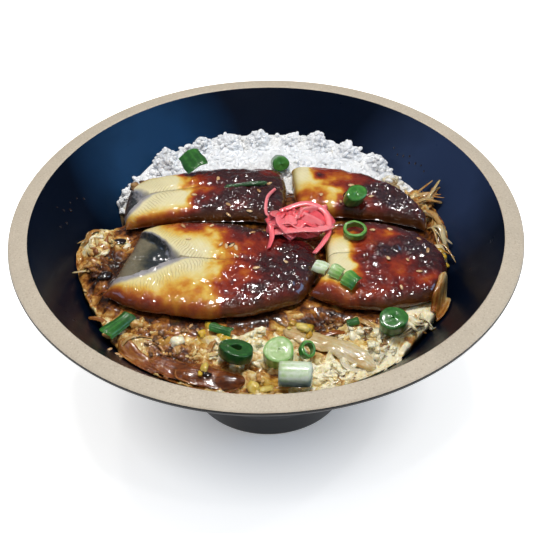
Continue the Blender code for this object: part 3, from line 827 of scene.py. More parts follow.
# sauce and char spots are along, across, half length, half width and amount; the cut is the apex
# of the opened belly, then the near and far tips, all 0 to 1 along and across the fillet
filletLooks = {
    "eel_front_left": {
        "cut": ((0.31, 0.48), (-0.02, 0.05), (0.0, 0.93)), "line": 0.49, "edge": (0.54, 0.22), "seed": 3,
        "sauce": (
            (0.33, 0.88, 0.13, 0.14, 0.62), (0.50, 0.12, 0.24, 0.16, 0.32), (0.75, 0.05, 0.3, 0.1, -0.25),
            (0.62, 0.33, 0.08, 0.12, -0.18), (0.15, 0.02, 0.3, 0.07, 0.35), (0.66, 0.95, 0.22, 0.12, 0.55),
        ),
        "char": ((0.91, 0.42, 0.09, 0.14, 1.1), (0.96, 0.22, 0.05, 0.1, 0.8), (0.70, 0.92, 0.14, 0.07, 0.8)),
    },
    "eel_front_right": {
        "cut": None, "line": 0.55, "edge": (0.31, 0.18), "seed": 11,
        "sauce": (
            (0.30, 0.92, 0.25, 0.14, 0.5), (0.12, 0.05, 0.3, 0.12, 0.55), (0.62, 0.75, 0.1, 0.1, -0.30),
            (0.90, 0.20, 0.07, 0.06, -0.4), (0.42, 0.10, 0.15, 0.1, -0.2),
        ),
        "char": ((0.58, 0.53, 0.13, 0.13, 1.2), (0.82, 0.60, 0.12, 0.12, 1.0), (0.5, 0.25, 0.08, 0.08, 0.7),
                 (0.72, 0.86, 0.16, 0.06, 0.8)),
    },
    "eel_back_left": {
        "cut": ((0.15, 0.54), (-0.04, 0.05), (-0.03, 0.93)), "line": 0.54, "edge": (0.40, 0.18), "seed": 23,
        "sauce": (
            (0.10, 0.96, 0.12, 0.06, 0.5), (0.52, 0.45, 0.12, 0.10, -0.38), (0.25, 0.0, 0.35, 0.12, 0.42),
            (0.40, 0.9, 0.08, 0.1, 0.2), (0.75, 0.45, 0.2, 0.5, 0.18), (0.58, 0.86, 0.16, 0.16, 0.40),
        ),
        "char": ((0.70, 0.52, 0.13, 0.18, 1.1), (0.88, 0.35, 0.12, 0.18, 1.0), (0.6, 0.2, 0.08, 0.1, 0.4)),
    },
    "eel_back_right": {
        "cut": None, "line": -1.0, "edge": (0.25, 0.20), "seed": 37,
        "sauce": (
            (0.10, 0.22, 0.25, 0.22, 0.42), (0.21, 0.66, 0.05, 0.09, 0.6), (0.40, 0.66, 0.14, 0.14, -0.42),
            (0.30, 0.3, 0.12, 0.12, -0.2),
        ),
        "char": ((0.60, 0.30, 0.14, 0.22, 1.2), (0.80, 0.38, 0.14, 0.25, 1.3), (0.5, 0.85, 0.1, 0.1, 0.4)),
    },
}
filletForm = {
    "thick": 8.6, "spacing": 0.36, "bevel": 3.2,
    # shares of the thickness: blunt edge, domed body, what is left in the cut, and the groove's depth
    "edgeShare": 0.26, "domeShare": 0.72, "hollow": 0.30, "groove": 0.11,
    "grooveWidth": 1.6,
    # spacing and height in mm of the glaze's blisters, the small ones between them, its grain and its sag
    "blisters": (3.6, 0.8), "smallBlisters": (1.9, 0.28), "grain": (2.4, 0.22), "sag": (6, 0.45),
}


def bentSide(a, middle, b, t):
    # parabola from a to b through middle, for an array of t
    pull = [2 * m - (p + q) / 2 for p, m, q in zip(a, middle, b)]
    return [(1 - t) ** 2 * p + 2 * t * (1 - t) * c + t * t * q for p, c, q in zip(a, pull, b)]


def patch(plan, u, v):
    nearLeft, near, nearRight, right, farRight, far, farLeft, left = plan
    nearAt, farAt = bentSide(nearLeft, near, nearRight, u), bentSide(farLeft, far, farRight, u)
    leftAt, rightAt = bentSide(nearLeft, left, farLeft, v), bentSide(nearRight, right, farRight, v)
    return [
        (1 - v) * nearAt[i] + v * farAt[i] + (1 - u) * leftAt[i] + u * rightAt[i]
        - (1 - u) * (1 - v) * nearLeft[i] - u * (1 - v) * nearRight[i]
        - (1 - u) * v * farLeft[i] - u * v * farRight[i]
        for i in (0, 1)
    ]


def planOutline(plan, steps=24):
    t = np.arange(steps) / steps
    low, high = 0 * t, 0 * t + 1
    sides = [patch(plan, t, low), patch(plan, high, t), patch(plan, 1 - t, high), patch(plan, low, 1 - t)]
    return np.concatenate([np.stack(side, axis=1) for side in sides])


def distanceOutside(x, y, outline):
    inside, nearest = np.zeros(x.shape, bool), np.full(x.shape, 1e9)
    for (x0, y0), (x1, y1) in zip(outline, np.roll(outline, -1, axis=0)):
        crossing = (y0 > y) != (y1 > y)
        with np.errstate(divide="ignore", invalid="ignore"):
            where = x0 + (y - y0) * (x1 - x0) / (y1 - y0)
        inside ^= crossing & (x < where)
        length = (x1 - x0) ** 2 + (y1 - y0) ** 2
        t = np.clip(((x - x0) * (x1 - x0) + (y - y0) * (y1 - y0)) / length, 0, 1)
        nearest = np.minimum(nearest, np.hypot(x - x0 - t * (x1 - x0), y - y0 - t * (y1 - y0)))
    return np.where(inside, 0.0, nearest)


filletOutlines = [planOutline(plan) for plan in filletPlans.values()]


def clearOfFillets(x, y):
    return np.minimum.reduce([distanceOutside(x, y, outline) for outline in filletOutlines])


def cutDistance(cut, u, v, length, width):
    # signed mm from the V shaped edge of the flesh, and mm along that edge
    if cut is None:
        return u * 0 + 50.0, v * 0
    apex, nearTip, farTip = [np.array((p[0] * length, p[1] * width)) for p in cut]
    x, y = u * length, v * width
    results = []
    for tip, flip in ((nearTip, 1), (farTip, -1)):
        run = apex - tip
        reach = np.hypot(*run)
        run = run / reach
        results.append((flip * ((x - tip[0]) * -run[1] + (y - tip[1]) * run[0]) * -1,
                        (x - tip[0]) * run[0] + (y - tip[1]) * run[1]))
    near, far = results
    lower = y < apex[1]
    return np.where(lower, near[0] - 2.8 * ease(near[1] / 14), far[0]), np.where(lower, near[1], far[1])


def filletGrid(plan, seed):
    # u along and v across, both 0 to 1 and closer together towards the edges, with their places in mm
    corners = np.array(plan)
    length = np.hypot(*(corners[3] - corners[7]))
    width = np.hypot(*(corners[5] - corners[1]))
    across, along = int(width / filletForm["spacing"]), int(length / filletForm["spacing"])
    s = np.sin(np.linspace(-math.pi / 2, math.pi / 2, across + 1))
    t = np.linspace(-1, 1, along + 1)
    t = np.sign(t) * (1 - (1 - np.abs(t)) ** 1.25)
    v, u = np.meshgrid(0.5 + 0.5 * s, 0.5 + 0.5 * t, indexing="ij")
    x, y = patch(plan, u, v)
    wander = roughField(x, y, 14, seed)
    inward = 1 - np.maximum(np.abs(2 * v - 1), np.abs(2 * u - 1))
    ragged = ease(1 - inward / 0.25)
    x = x + 0.5 * roughField(y, x, 9, seed + 50) * ragged
    y = y + 0.6 * roughField(x, y, 8, seed + 60) * ragged
    return u, v, x, y, length, width, wander


def sauceAndChar(look, u, v, x, y, wander):
    seed = look["seed"]
    start, soft = look["edge"]
    along = u - start + 0.10 * (v - 0.4) - 0.05 * wander - 0.03 * roughField(x, y, 4, seed + 1)
    sauce = ease(along / soft + 0.5)
    sauce = sauce * (0.70 + 0.20 * roughField(x, y, 9, seed + 2) + 0.24 * ease((u - 0.55) / 0.3))
    sauce = sauce + humps(u, v, look["sauce"])
    sauce = np.clip(sauce + 0.13 * roughField(x, y, 4, seed + 3) * ease(sauce / 0.3), 0, 1)
    char = humps(u, v, look["char"]) * (0.75 + 0.6 * roughField(x, y, 5, seed + 4))
    return sauce, np.clip(char, 0, 1)


def glazeRelief(seed, x, y, sauce, char):
    form = filletForm
    spacing, height = form["blisters"]
    blister, _, own, _, _ = scatterCells(x + 0.8 * softField(x, y, 2, seed + 14), y, spacing, seed + 6)
    lumps = height * np.maximum(0, 0.75 - blister) ** 1.3 * (0.3 + own) * (0.9 * sauce + 2.4 * char)
    spacing, height = form["smallBlisters"]
    tiny, _, own, _, _ = scatterCells(x + 0.4 * softField(x, y, 1.3, seed + 16), y, spacing, seed + 15)
    lumps = lumps + height * np.maximum(0, 0.7 - tiny) * (0.15 + own) * ease((sauce - 0.2) / 0.5)
    spacing, height = form["grain"]
    fine = height * roughField(x, y, spacing, seed + 7, 2) * (0.10 + sauce)
    spacing, height = form["sag"]
    sag = height * roughField(x, y, spacing, seed + 8) * (0.4 + 0.6 * sauce)
    return lumps + fine + sag


def cutSkin(cut, u, v, length, width, away, lower):
    # 0 on flesh, then up through the grey rim and the dark lining to the skin inside the cut
    apex = cut[0]
    apexFar = np.hypot((u - apex[0]) * length, (v - apex[1]) * width)
    rim = np.where(lower, 4.4, 0.9) + 2.6 * np.exp(-(apexFar / 7) ** 2)
    grey = np.where(lower, 1, np.exp(-(apexFar / 9) ** 2))
    skin = (0.4 * grey + 0.56 * (1 - grey)) * ease((0.9 - away) / (1.0 + 1.4 * grey))
    return skin + ease((-rim - away) / 1.6) * (0.18 * grey + 0.42 * ease((apexFar - 12) / 9))


def buildFillet(name, material):
    look, form = filletLooks[name], filletForm
    seed, cut = look["seed"], look["cut"]
    u, v, x, y, length, width, wander = filletGrid(filletPlans[name], seed)
    away, run = cutDistance(cut, u, v, length, width)
    away = away + 0.5 * roughField(x, y, 3, seed + 5)
    run = run + 0.5 * roughField(x, y, 2.6, seed + 9, 2)
    sauce, char = sauceAndChar(look, u, v, x, y, wander)

    # domed lobes with a groove between them, blunt edges and a hollow in the cut
    profile = (1 - np.abs(2 * v - 1) ** 4.2) ** 0.5 * (1 - np.abs(2 * u - 1) ** 12) ** 0.5
    lower = (v < cut[0][1]) if cut else v < 0
    flesh = ease((away + np.where(lower, 4.2, 0.8)) / form["bevel"] + 0.5)
    body = profile * (form["hollow"] + (1 - form["hollow"]) * flesh)
    offLine = (v - look["line"]) * width
    groove = form["groove"] * np.exp(-(offLine / form["grooveWidth"]) ** 2) * (1 - 0.6 * sauce)
    base = bedHeight(x, y) + 0.2
    rise = form["edgeShare"] + form["domeShare"] * body - groove * profile
    top = base + form["thick"] * (1 + 0.07 * wander) * rise + glazeRelief(seed, x, y, sauce, char) * profile
    bottom = base + form["thick"] * form["edgeShare"] * (1 - profile) - 0.3 * profile
    mesh = slab(name + "_flesh", x, y, top, bottom)
    numbers = {
        "sauce": sauce, "char": char, "side": ease((0.88 - profile) / 0.6), "line": offLine,
        "skin": cutSkin(cut, u, v, length, width, away, lower) if cut else 0 * u,
        "stroke": run + 0.35 * away, "strokeFade": ease(1 - np.abs(away - 4.5) / 5.5) if cut else 0 * u,
        "ribs": u * length + 0.55 * np.abs(v - look["line"]) * width,
    }
    for key, values in numbers.items():
        setNumbers(mesh, key, np.concatenate([values.ravel(), values.ravel()]))
    fillet = finishObject(name + "_flesh", mesh, material)
    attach(fillet, "root")
    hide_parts(name)
    return fillet


eelLook = {
    # from bare flesh to thick sauce
    "glaze": (
        (0.00, (0.78, 0.70, 0.42)), (0.07, (0.76, 0.62, 0.24)), (0.15, (0.72, 0.44, 0.070)),
        (0.25, (0.58, 0.22, 0.018)), (0.38, (0.42, 0.088, 0.009)), (0.56, (0.28, 0.026, 0.007)),
        (0.76, (0.135, 0.008, 0.005)), (1.00, (0.032, 0.003, 0.004)),
    ),
    # grey rim of the cut, dark lining of the belly, then olive skin
    "lining": (
        (0.00, (0.38, 0.35, 0.33)), (0.42, (0.34, 0.32, 0.32)), (0.54, (0.022, 0.028, 0.034)),
        (0.68, (0.030, 0.034, 0.032)), (0.86, (0.11, 0.10, 0.065)), (1.00, (0.18, 0.155, 0.10)),
    ),
    "flake": (0.44, 0.33, 0.17), "grooveLine": (0.09, 0.055, 0.03),
    "soakedSide": ((0.042, 0.009, 0.0016), (0.14, 0.042, 0.004)),
    "burnt": ((0.006, 0.004, 0.007), (0.060, 0.020, 0.026)),
    # mm from flake to flake and from rib to rib
    "flakeStep": 1.35, "ribStep": 1.6,
    # metres: wide and narrow sauce beads, and the height of their relief
    "beads": (0.0017, 0.0008), "beadHeight": 0.00034,
}


def filletMaterial():
    look = eelLook
    made, tree, shader = newMaterial("glazedEel", 0.3, coat=0.9, coatRoughness=0.035, subsurface=0.05,
                                     radius=(1, 0.5, 0.2), specular=0.15)
    shader.inputs["Coat IOR"].default_value = 1.75
    sauce, char = readAttribute(tree, "sauce"), readAttribute(tree, "char")
    skin, side = readAttribute(tree, "skin"), readAttribute(tree, "side")
    fine = unevenTone(tree, 0.0022, 1.6) - 0.5
    broad = unevenTone(tree, 0.007, 1.4) - 0.5
    wobble = fine * 0.22 + broad * 0.16
    depth = (sauce + side * 0.15 + wobble * (sauce + 0.18)).clamped()
    glaze = colourRamp(depth, look["glaze"])

    # pale fan of flakes beside the cut, faint ribs over the rest of the flesh, and the groove's dark line
    bare = (1.0 - sauce * 3.2).clamped()
    fan = (readAttribute(tree, "stroke") * (2 * math.pi / look["flakeStep"])).sine()
    fan = (fan - 0.35).clamped() * readAttribute(tree, "strokeFade")
    ribs = (readAttribute(tree, "ribs") * (2 * math.pi / look["ribStep"])).sine()
    ribs = (ribs - 0.5).clamped() * 0.22
    flakes = ((fan + ribs) * bare).clamped()
    glaze = mixColour((flakes * 0.9).clamped(), glaze, look["flake"])
    line = (readAttribute(tree, "line") + broad * 1.2).absolute()
    line = (1.0 - line * 1.9).clamped() * (1.0 - sauce * 1.6).clamped()
    glaze = mixColour(line * 0.8, glaze, look["grooveLine"])

    # over it the cut, the soaked near side and the char
    coloured = mixColour((skin * 2.6).clamped(), glaze, colourRamp(skin + fine * 0.22, look["lining"]))
    soakedSide = mixColour(unevenTone(tree, 0.005, 1.8), *look["soakedSide"])
    coloured = mixColour(side * (sauce * 0.5 + 0.52).clamped(), coloured, soakedSide)
    coloured = mixColour(char, coloured, mixColour(unevenTone(tree, 0.0016, 2.2), *look["burnt"]))
    join(coloured, shader.inputs["Base Color"])

    join(unevenTone(tree, 0.003, 1.5) * 0.25 + 0.20, shader.inputs["Roughness"])
    wet = sauce * 0.8 + skin * 0.5
    join((wet + 0.2).clamped(), shader.inputs["Coat Weight"])
    wide, narrow = look["beads"]
    beads = (wetBeads(tree, wide) + wetBeads(tree, narrow) * 0.50) * (wet * 1.15 + 0.06)
    addBump(shader, beads - flakes * 0.5, look["beadHeight"], 1.0)
    return made


eelFinish = filletMaterial()
fillets = {name: buildFillet(name, eelFinish) for name in filletPlans}
print("fillets laid")


# Egg and onion bed

eggLook = {
    "outline": (
        (-62, 22), (-76, 17), (-80, 4), (-77, -12), (-73, -25), (-67, -36), (-60, -50),
        (-50, -64), (-30, -77.5), (0, -83.5), (28, -79), (44, -69), (57, -53), (69, -34),
        (74, -12), (77, 8), (76, 25), (69, 38), (56, 44), (30, 41), (0, 40), (-30, 40), (-52, 34),
    ),
    "centre": (0, -14),
    # x, y, rise and spread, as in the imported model
    "heaps": (
        (-70, 10, 5.0, 9), (-68, -12, 3.0, 8), (71, 12, 5.0, 8), (66, 30, 4.5, 8),
        (66, -33, 3.0, 7), (54, -46, 3.0, 9), (-52, -48, 2.5, 9), (-22, -54, 2.5, 10),
        (34, -54, 2.5, 9), (-2, -54, 2.5, 9), (42, -60, 2.0, 8),
    ),
    # x, y, half width, half depth and amount of dark sauce, of pale curd and of yellow yolk
    "brothSpots": (
        (-45, -62, 18, 6, 0.34), (-68, -2, 12, 22, 0.10), (-20, -70, 16, 7, 0.35), (-66, -10, 8, 10, 0.60),
        (-46, -46, 12, 5, 0.15), (-34, -57, 9, 5, 0.50), (22, -47, 10, 5, 0.6), (50, -52, 7, 3, 0.25),
        # the long spot at -5, -43 lies along the near fillet's edge: broth there, and painted shade under
        # that edge
        (70, 6, 8, 16, 0.2), (-5, -43, 40, 4, 0.22), (68, -8, 6, 14, 0.35), (58, 40, 10, 6, 0.3),
    ),
    "curdSpots": (
        (-20, -56, 14, 6, 0.45), (0, -58, 10, 8, 0.4), (40, -50, 14, 6, 0.5), (30, -68, 20, 7, 0.6),
        (62, -38, 9, 10, 0.95), (48, -60, 9, 4, 0.6), (-76, -16, 3.5, 20, 0.30), (-72, 14, 6, 5, 0.4),
    ),
    "yolkSpots": (
        (-20, -53, 9, 3, 0.9), (8, -46, 8, 3.5, 0.9), (-2, -76, 7, 5, 0.8), (71, -6, 4, 5, 1.0),
        (-27, -71, 6, 2.5, 0.7), (10, -70, 6, 3, 0.6), (36, -56, 7, 3, 0.5), (-38, -52, 7, 3, 0.4),
    ),
    # spacing in mm, step from curd to curd and slope over each, for the curds and for the grains on them
    "curds": (6.4, 2.3, 0.40), "grains": (2.5, 0.6, 0.30),
    "sunk": 3.2,
    "rings": 130, "steps": 560,
}


eggEdge = np.array([closedSpline(eggLook["outline"], k * 2 * math.pi / 120) for k in range(120)])


def eggTop(x, y, share):
    look = eggLook
    out = clearOfFillets(x, y)
    free = ease((out - 1.2) / 4)
    heaps = np.zeros(x.shape)
    for hx, hy, rise, spread in look["heaps"]:
        heaps = heaps + rise * np.exp(-((x - hx) ** 2 + (y - hy) ** 2) / (2 * (spread * 0.6) ** 2))
    wx = x + 2.0 * softField(x, y, 5, 71) + 0.7 * softField(x, y, 1.7, 70)
    wy = y + 2.0 * softField(x, y, 5, 72)
    spacing, step, slope = look["curds"]
    _, gap, own, ox, oy = scatterCells(wx, wy * 1.2, spacing, 73)
    curds = (step * own + slope * (ox * np.cos(40 * own) + oy * np.sin(40 * own))) * ease(gap / 0.55)
    spacing, step, slope = look["grains"]
    wx, wy = wx + softField(x, y, 1.5, 74), y + softField(x, y, 1.5, 75)
    _, gapSmall, ownSmall, sx, sy = scatterCells(wx, wy, spacing, 76)
    grains = step * ownSmall + slope * (sx * np.cos(40 * ownSmall) + sy * np.sin(40 * ownSmall))
    grains = grains * ease(gapSmall / 0.6)
    folds = 1.5 * (1 - np.abs(softField(x, y * 1.6, 10, 77)))
    folds = folds + 0.7 * (1 - np.abs(softField(x * 1.4, y, 5, 78)))
    relief = folds + curds + grains + 0.6 * roughField(x, y, 13, 79) + 0.08 * roughField(x, y, 1.4, 80)
    relief = relief - look["sunk"]
    # broth stands in the gaps, and each curd has a tone of its own
    tint = 0.5 - own + 0.5 * (0.5 - ownSmall)
    tint = tint + 0.5 * (1 - ease(gap / 0.22)) + 0.25 * (1 - ease(gapSmall / 0.28))
    edge = ease((share - 0.90) / 0.10)
    height = bedHeight(x, y) + free * (heaps + relief * (1 - 0.3 * edge)) - 1.8 * edge
    floor = wallHeight(np.hypot(x, y) + 0.3) + 1.0 + 0.7 * np.clip(relief + 1.2, 0, 2.5)
    return np.maximum(height, floor), tint, out


def buildEggBed(material):
    look = eggLook
    x, y, share = discGrid(lambda angle: closedSpline(look["outline"], angle), look["centre"],
                           look["rings"], look["steps"], 0.62)
    wavy = 0.5 * roughField(x, y, 7, 61) + 1.0 * roughField(x, y, 16, 62)
    pull = ease((share - 0.85) / 0.15) * (0.6 * wavy - 0.7)
    reach = np.hypot(x, y)
    x, y = x * (1 + pull / reach), y * (1 + pull / reach)
    top, tint, out = eggTop(x, y, share)
    bottom = np.maximum(np.minimum(top - 1.2, bedHeight(x, y) - 5.5), wallHeight(np.hypot(x, y)) + 0.3)
    middle = bedHeight(*look["centre"])
    mesh = discMesh("eggBed", x, y, look["centre"], top, bottom, middle, middle - 6)
    broth = 0.26 + humps(x, y, look["brothSpots"]) - humps(x, y, look["curdSpots"])
    # darker next to the fillets: partly broth in the crevices, partly painted shade under their edges
    broth = broth + 0.40 * ease((5.0 - out) / 4.5) + 0.42 * tint + 0.18 * roughField(x, y, 8, 91)
    yolk = humps(x, y, look["yolkSpots"]) + 0.25 * roughField(x, y, 5, 92) - 0.15
    for key, values in (("broth", np.clip(broth, 0, 1)), ("yolk", np.clip(yolk, 0, 1))):
        setNumbers(mesh, key, bothSides(values))
    return finishObject("eggBed", mesh, material)


eggTones = [
    (0.00, (0.97, 0.89, 0.64)), (0.16, (0.78, 0.60, 0.26)), (0.38, (0.50, 0.24, 0.050)),
    (0.58, (0.25, 0.082, 0.014)), (0.78, (0.095, 0.026, 0.006)), (1.00, (0.020, 0.006, 0.003)),
]
yolkColour = (0.62, 0.40, 0.035)


def eggMaterial():
    made, tree, shader = newMaterial("softEgg", 0.4, coat=0.7, coatRoughness=0.05, subsurface=0.2,
                                     radius=(1, 0.6, 0.25), specular=0.15)
    fine = unevenTone(tree, 0.0018, 2.0) - 0.5
    broth = (readAttribute(tree, "broth") + fine * 0.30).clamped()
    yellow = readAttribute(tree, "yolk") * (1.25 - broth).clamped()
    coloured = mixColour((yellow * 0.9).clamped(), colourRamp(broth, eggTones), yolkColour)
    join(coloured, shader.inputs["Base Color"])
    join(unevenTone(tree, 0.002, 2.0) * 0.3 + 0.16, shader.inputs["Roughness"])
    addBump(shader, wetBeads(tree, 0.0013), 0.00025, 0.7)
    return made


eggBed = buildEggBed(eggMaterial())
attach(eggBed, "root")
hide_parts("egg_and_onion")
print("egg bed spread")

bedGround = Ground(eggBed, *fillets.values())


def toneMaterial(name, stops, roughness, beadSize=0.0012, bumpDepth=0.0002, toneSpread=0.35,
                 streaks=0.0, **extra):
    # colour from the piece's own tone number, broken up by fine mottling
    made, tree, shader = newMaterial(name, roughness, **extra)
    fine = (unevenTone(tree, beadSize * 1.6, 1.8) - 0.5) * toneSpread
    tone = (readAttribute(tree, "tone") + fine).clamped()
    height = wetBeads(tree, beadSize)
    if streaks:
        # fine lines along the piece, from its own mm across
        wave = readAttribute(tree, "across") * (2 * math.pi / 1.1)
        wave = (wave + unevenTone(tree, 0.005, 1.5) * 9.0).sine()
        height = height + wave * streaks
        tone = (tone + wave * 0.03).clamped()
    join(colourRamp(tone, stops), shader.inputs["Base Color"])
    addBump(shader, height, bumpDepth, 0.7)
    return made


# Loose curds and crumbs over the bed

curdLook = {
    "count": 360, "sizes": (0.8, 2.0), "cluster": 4, "scatter": 1.2, "seed": 9,
    # places tried, in mm along x and y, and how far they stay from the fillets
    "tries": 9000, "area": ((-80, 78), (-83, 44)), "fromFillets": 4.5,
}
curdFinish = toneMaterial("eggCurds", eggTones, 0.3, beadSize=0.0013, bumpDepth=0.0002, toneSpread=0.45,
                          coat=0.9, coatRoughness=0.05, subsurface=0.15, radius=(1, 0.6, 0.25))


def scatterCurds():
    look, draw = curdLook, random.Random(curdLook["seed"])
    pick = np.random.default_rng(look["seed"])
    shapes = [blobMesh(f"curd{k}", 1.0, 1.3, 40 + k, squash=0.75) for k in range(6)]
    spots = []
    xs, ys = (pick.uniform(low, high, look["tries"]) for low, high in look["area"])
    clear = (distanceOutside(xs, ys, eggEdge) <= 0) & (clearOfFillets(xs, ys) > look["fromFillets"])
    broths = 0.40 + humps(xs, ys, eggLook["brothSpots"]) - humps(xs, ys, eggLook["curdSpots"])
    picked = [(x + draw.gauss(0, look["scatter"]), y + draw.gauss(0, look["scatter"]), broth)
              for x, y, broth in zip(xs[clear].tolist(), ys[clear].tolist(), broths[clear].tolist())
              if draw.random() > 0.6 * broth for _ in range(look["cluster"])]
    for x, y, broth in picked:
        if len(spots) >= look["count"]:
            break
        low, high = look["sizes"]
        size = low + (high - low) * draw.random() ** 2.2
        top = bedGround.top(x, y)
        if ground.around(x, y, size) > bedGround.around(x, y, size) + 0.2:
            continue
        if math.hypot(x, y) + 0.8 * size > wallRadius(top) - 0.4:
            continue
        z = top - size * draw.uniform(0.15, 0.45)
        grow = (size * draw.uniform(0.9, 1.3), size * draw.uniform(0.8, 1.1), size * draw.uniform(0.6, 0.9))
        turn = (draw.uniform(-0.8, 0.8), draw.uniform(-0.8, 0.8), draw.uniform(0, 6.3))
        tone = min(0.82, max(0, broth * 0.72 - 0.08 + draw.gauss(0, 0.14)))
        spots.append(((x, y, z), turn, grow, draw.randrange(6), tone))
    return scatter("looseCurds", shapes, spots, curdFinish)


# Rice

riceLook = {
    "grainLength": 5.2, "grainWidth": 2.35, "count": 1350, "edgeGrains": 800, "seed": 5,
    # x, y, radius, height and grains of the tufts that stand up at the back
    "tufts": (
        (-44, 63, 4.5, 7.0, 40), (-28, 70, 3.5, 8.0, 36), (-15, 73, 5, 4.5, 34), (-3, 75, 4.5, 6.0, 36),
        (12, 74, 4, 4.0, 28), (24, 72, 4, 7.0, 36), (37, 67, 4.5, 6.0, 36), (51, 58, 4.5, 5.5, 34),
        (-62, 46, 4, 3.0, 18), (-66, 37, 3, 2.0, 14), (56, 48, 3, 1.5, 10), (8, 60, 8, 1.5, 20),
    ),
    # x, y, half width, half depth and depth of the dips between them
    "dips": (
        (-54, 56, 9, 9, 3.6), (-36, 70, 3, 5, 2.6), (-9, 76, 3, 5, 3.0), (4, 76, 3, 5, 2.4),
        (18, 75, 3, 5, 2.6), (31, 70, 3, 5, 2.4), (44, 64, 3, 5, 2.4),
    ),
    # degrees round the bowl and mm in from the wall where loose grains lie along the back
    "edgeArc": (40, 150), "edgeDepth": 8,
    # places tried for the others, in mm along x and y, and the height below which none is laid
    "tries": 40000, "area": ((-76, 68), (28, 83)), "lowest": 60,
    # leaning in radians and rise over the core, for the flat ones, those at the edge and the tufts
    "flat": (0.35, (-0.8, 0.4)), "edge": (0.9, (-0.7, 1.0)), "standing": (1.2, (-0.3, 0.6)),
}


def riceCoreTop(x, y):
    lumps = scatterCells(x, y, 3.4, 15)[0]
    rise = humps(x, y, [(tx, ty, r, r, 0.85 * high) for tx, ty, r, high, _ in riceLook["tufts"]])
    rise = rise - humps(x, y, riceLook["dips"])
    bumps = 0.7 * np.sqrt(np.maximum(0, 0.8 - lumps)) + 0.25 * roughField(x, y, 2.4, 16)
    bumps = bumps + 1.2 * roughField(x, y, 9, 17, 2)
    seen = ease((y - 36) / 10)
    gap = 8 * ease((41 - y) / 4) * ease((-x - 54) / 6)
    return riceHeight(x, y) - 1.0 - gap + seen * (rise + bumps - 0.4)


def buildRiceCore(material):
    def outline(angle):
        x, y = math.cos(angle), math.sin(angle)
        radius = wallRadius(float(riceHeight(74 * x, 74 * y)) - 2.0) - 0.6
        # drawn in at the left, where the bowl shows between rice and egg
        radius = radius - 10 * math.exp(-((math.degrees(angle) - 158) / 9) ** 2)
        return radius * x, radius * y

    x, y, share = discGrid(outline, (0, 0), 70, 260, 0.7)
    bottom = np.maximum(wallHeight(np.hypot(x, y)), dish["floorHeight"]) + 0.6
    edge = ease((share - 0.95) / 0.05)
    top = np.maximum(riceCoreTop(x, y) * (1 - edge) + (bottom + 0.8) * edge, bottom + 0.8)
    origin = np.array([0.0])
    middle = float(riceCoreTop(origin, origin)[0])
    mesh = discMesh("riceCore", x, y, (0, 0), top, bottom, middle, dish["floorHeight"] + 0.6)
    soaked = np.array([v.co[:2] for v in mesh.vertices]) / mm
    # the core turns near black in front of y = 41, where it runs under the egg: broth stain, and painted
    # shade in the gap between rice and egg
    setNumbers(mesh, "tone", 0.3 + 0.7 * ease((41 - soaked[:, 1]) / 2.5))
    return finishObject("riceCore", mesh, material)


def grainMesh(length, width, bend):
    solid = bmesh.new()
    bmesh.ops.create_uvsphere(solid, u_segments=7, v_segments=6, radius=0.5)
    for vert in solid.verts:
        px, py, pz = vert.co
        t = 2 * pz
        full = (1 - abs(t) ** 2.6) ** 0.5 if abs(t) < 1 else 0.0
        ring = math.hypot(px, py)
        k = full / 2 / ring if ring > 1e-6 else 0
        thick = px * k * width * 0.86 + bend * (1 - t * t)
        vert.co = (t * length / 2 * mm, py * k * width * mm, thick * mm)
    bmesh.ops.recalc_face_normals(solid, faces=solid.faces)
    return meshFromSolid("grain", solid)


def scatterRice(material, core):
    look = riceLook
    draw = random.Random(look["seed"])
    surface = Ground(core)
    spots = []

    def addGrain(x, y, z, pitch):
        if math.hypot(x, y) > wallRadius(z) - 1.6 or bedGround.around(x, y, 1.2) > z - 0.8:
            return
        turn = (draw.uniform(-0.6, 0.6), draw.uniform(-pitch, pitch), draw.uniform(0, 6.3))
        grow = [draw.uniform(0.85, 1.08)] + [draw.uniform(0.85, 1.12)] * 2
        stain = 0.5 * math.exp(-((x - 56) / 7) ** 2 - ((y - 46) / 8) ** 2)
        pick = draw.randrange(3)
        tone = min(1, max(0, 0.22 + stain + draw.gauss(0, 0.1)))
        spots.append(((x, y, z), turn, grow, pick, tone))

    pitch, rise = look["flat"]
    (left, right), (near, far) = look["area"]
    for _ in range(look["tries"]):
        if len(spots) >= look["count"]:
            break
        x, y = draw.uniform(left, right), draw.uniform(near, far)
        if x < -50 and y < 37:
            continue
        top = surface.top(x, y)
        if top > look["lowest"]:
            addGrain(x, y, top + draw.uniform(*rise), pitch)
    pitch, rise = look["edge"]
    for _ in range(look["edgeGrains"]):
        angle = math.radians(draw.uniform(*look["edgeArc"]))
        away = wallRadius(mound["riceBack"]) - draw.uniform(0, look["edgeDepth"])
        x, y = away * math.cos(angle), away * math.sin(angle)
        top = surface.top(x, y)
        if top > look["lowest"]:
            addGrain(x, y, top + draw.uniform(*rise), pitch)
    pitch, (low, high) = look["standing"]
    for tx, ty, radius, tall, count in look["tufts"]:
        for _ in range(count):
            away, angle = radius * draw.random() ** 0.6, draw.uniform(0, 6.3)
            x, y = tx + away * math.cos(angle), ty + away * math.sin(angle) * 0.8
            top = surface.top(x, y)
            if top > look["lowest"]:
                addGrain(x, y, top + draw.uniform(low, high + 0.12 * tall), pitch)
    shapes = [grainMesh(look["grainLength"], look["grainWidth"], bend) for bend in (0.0, 0.25, 0.45)]
    return scatter("riceGrains", shapes, spots, material)


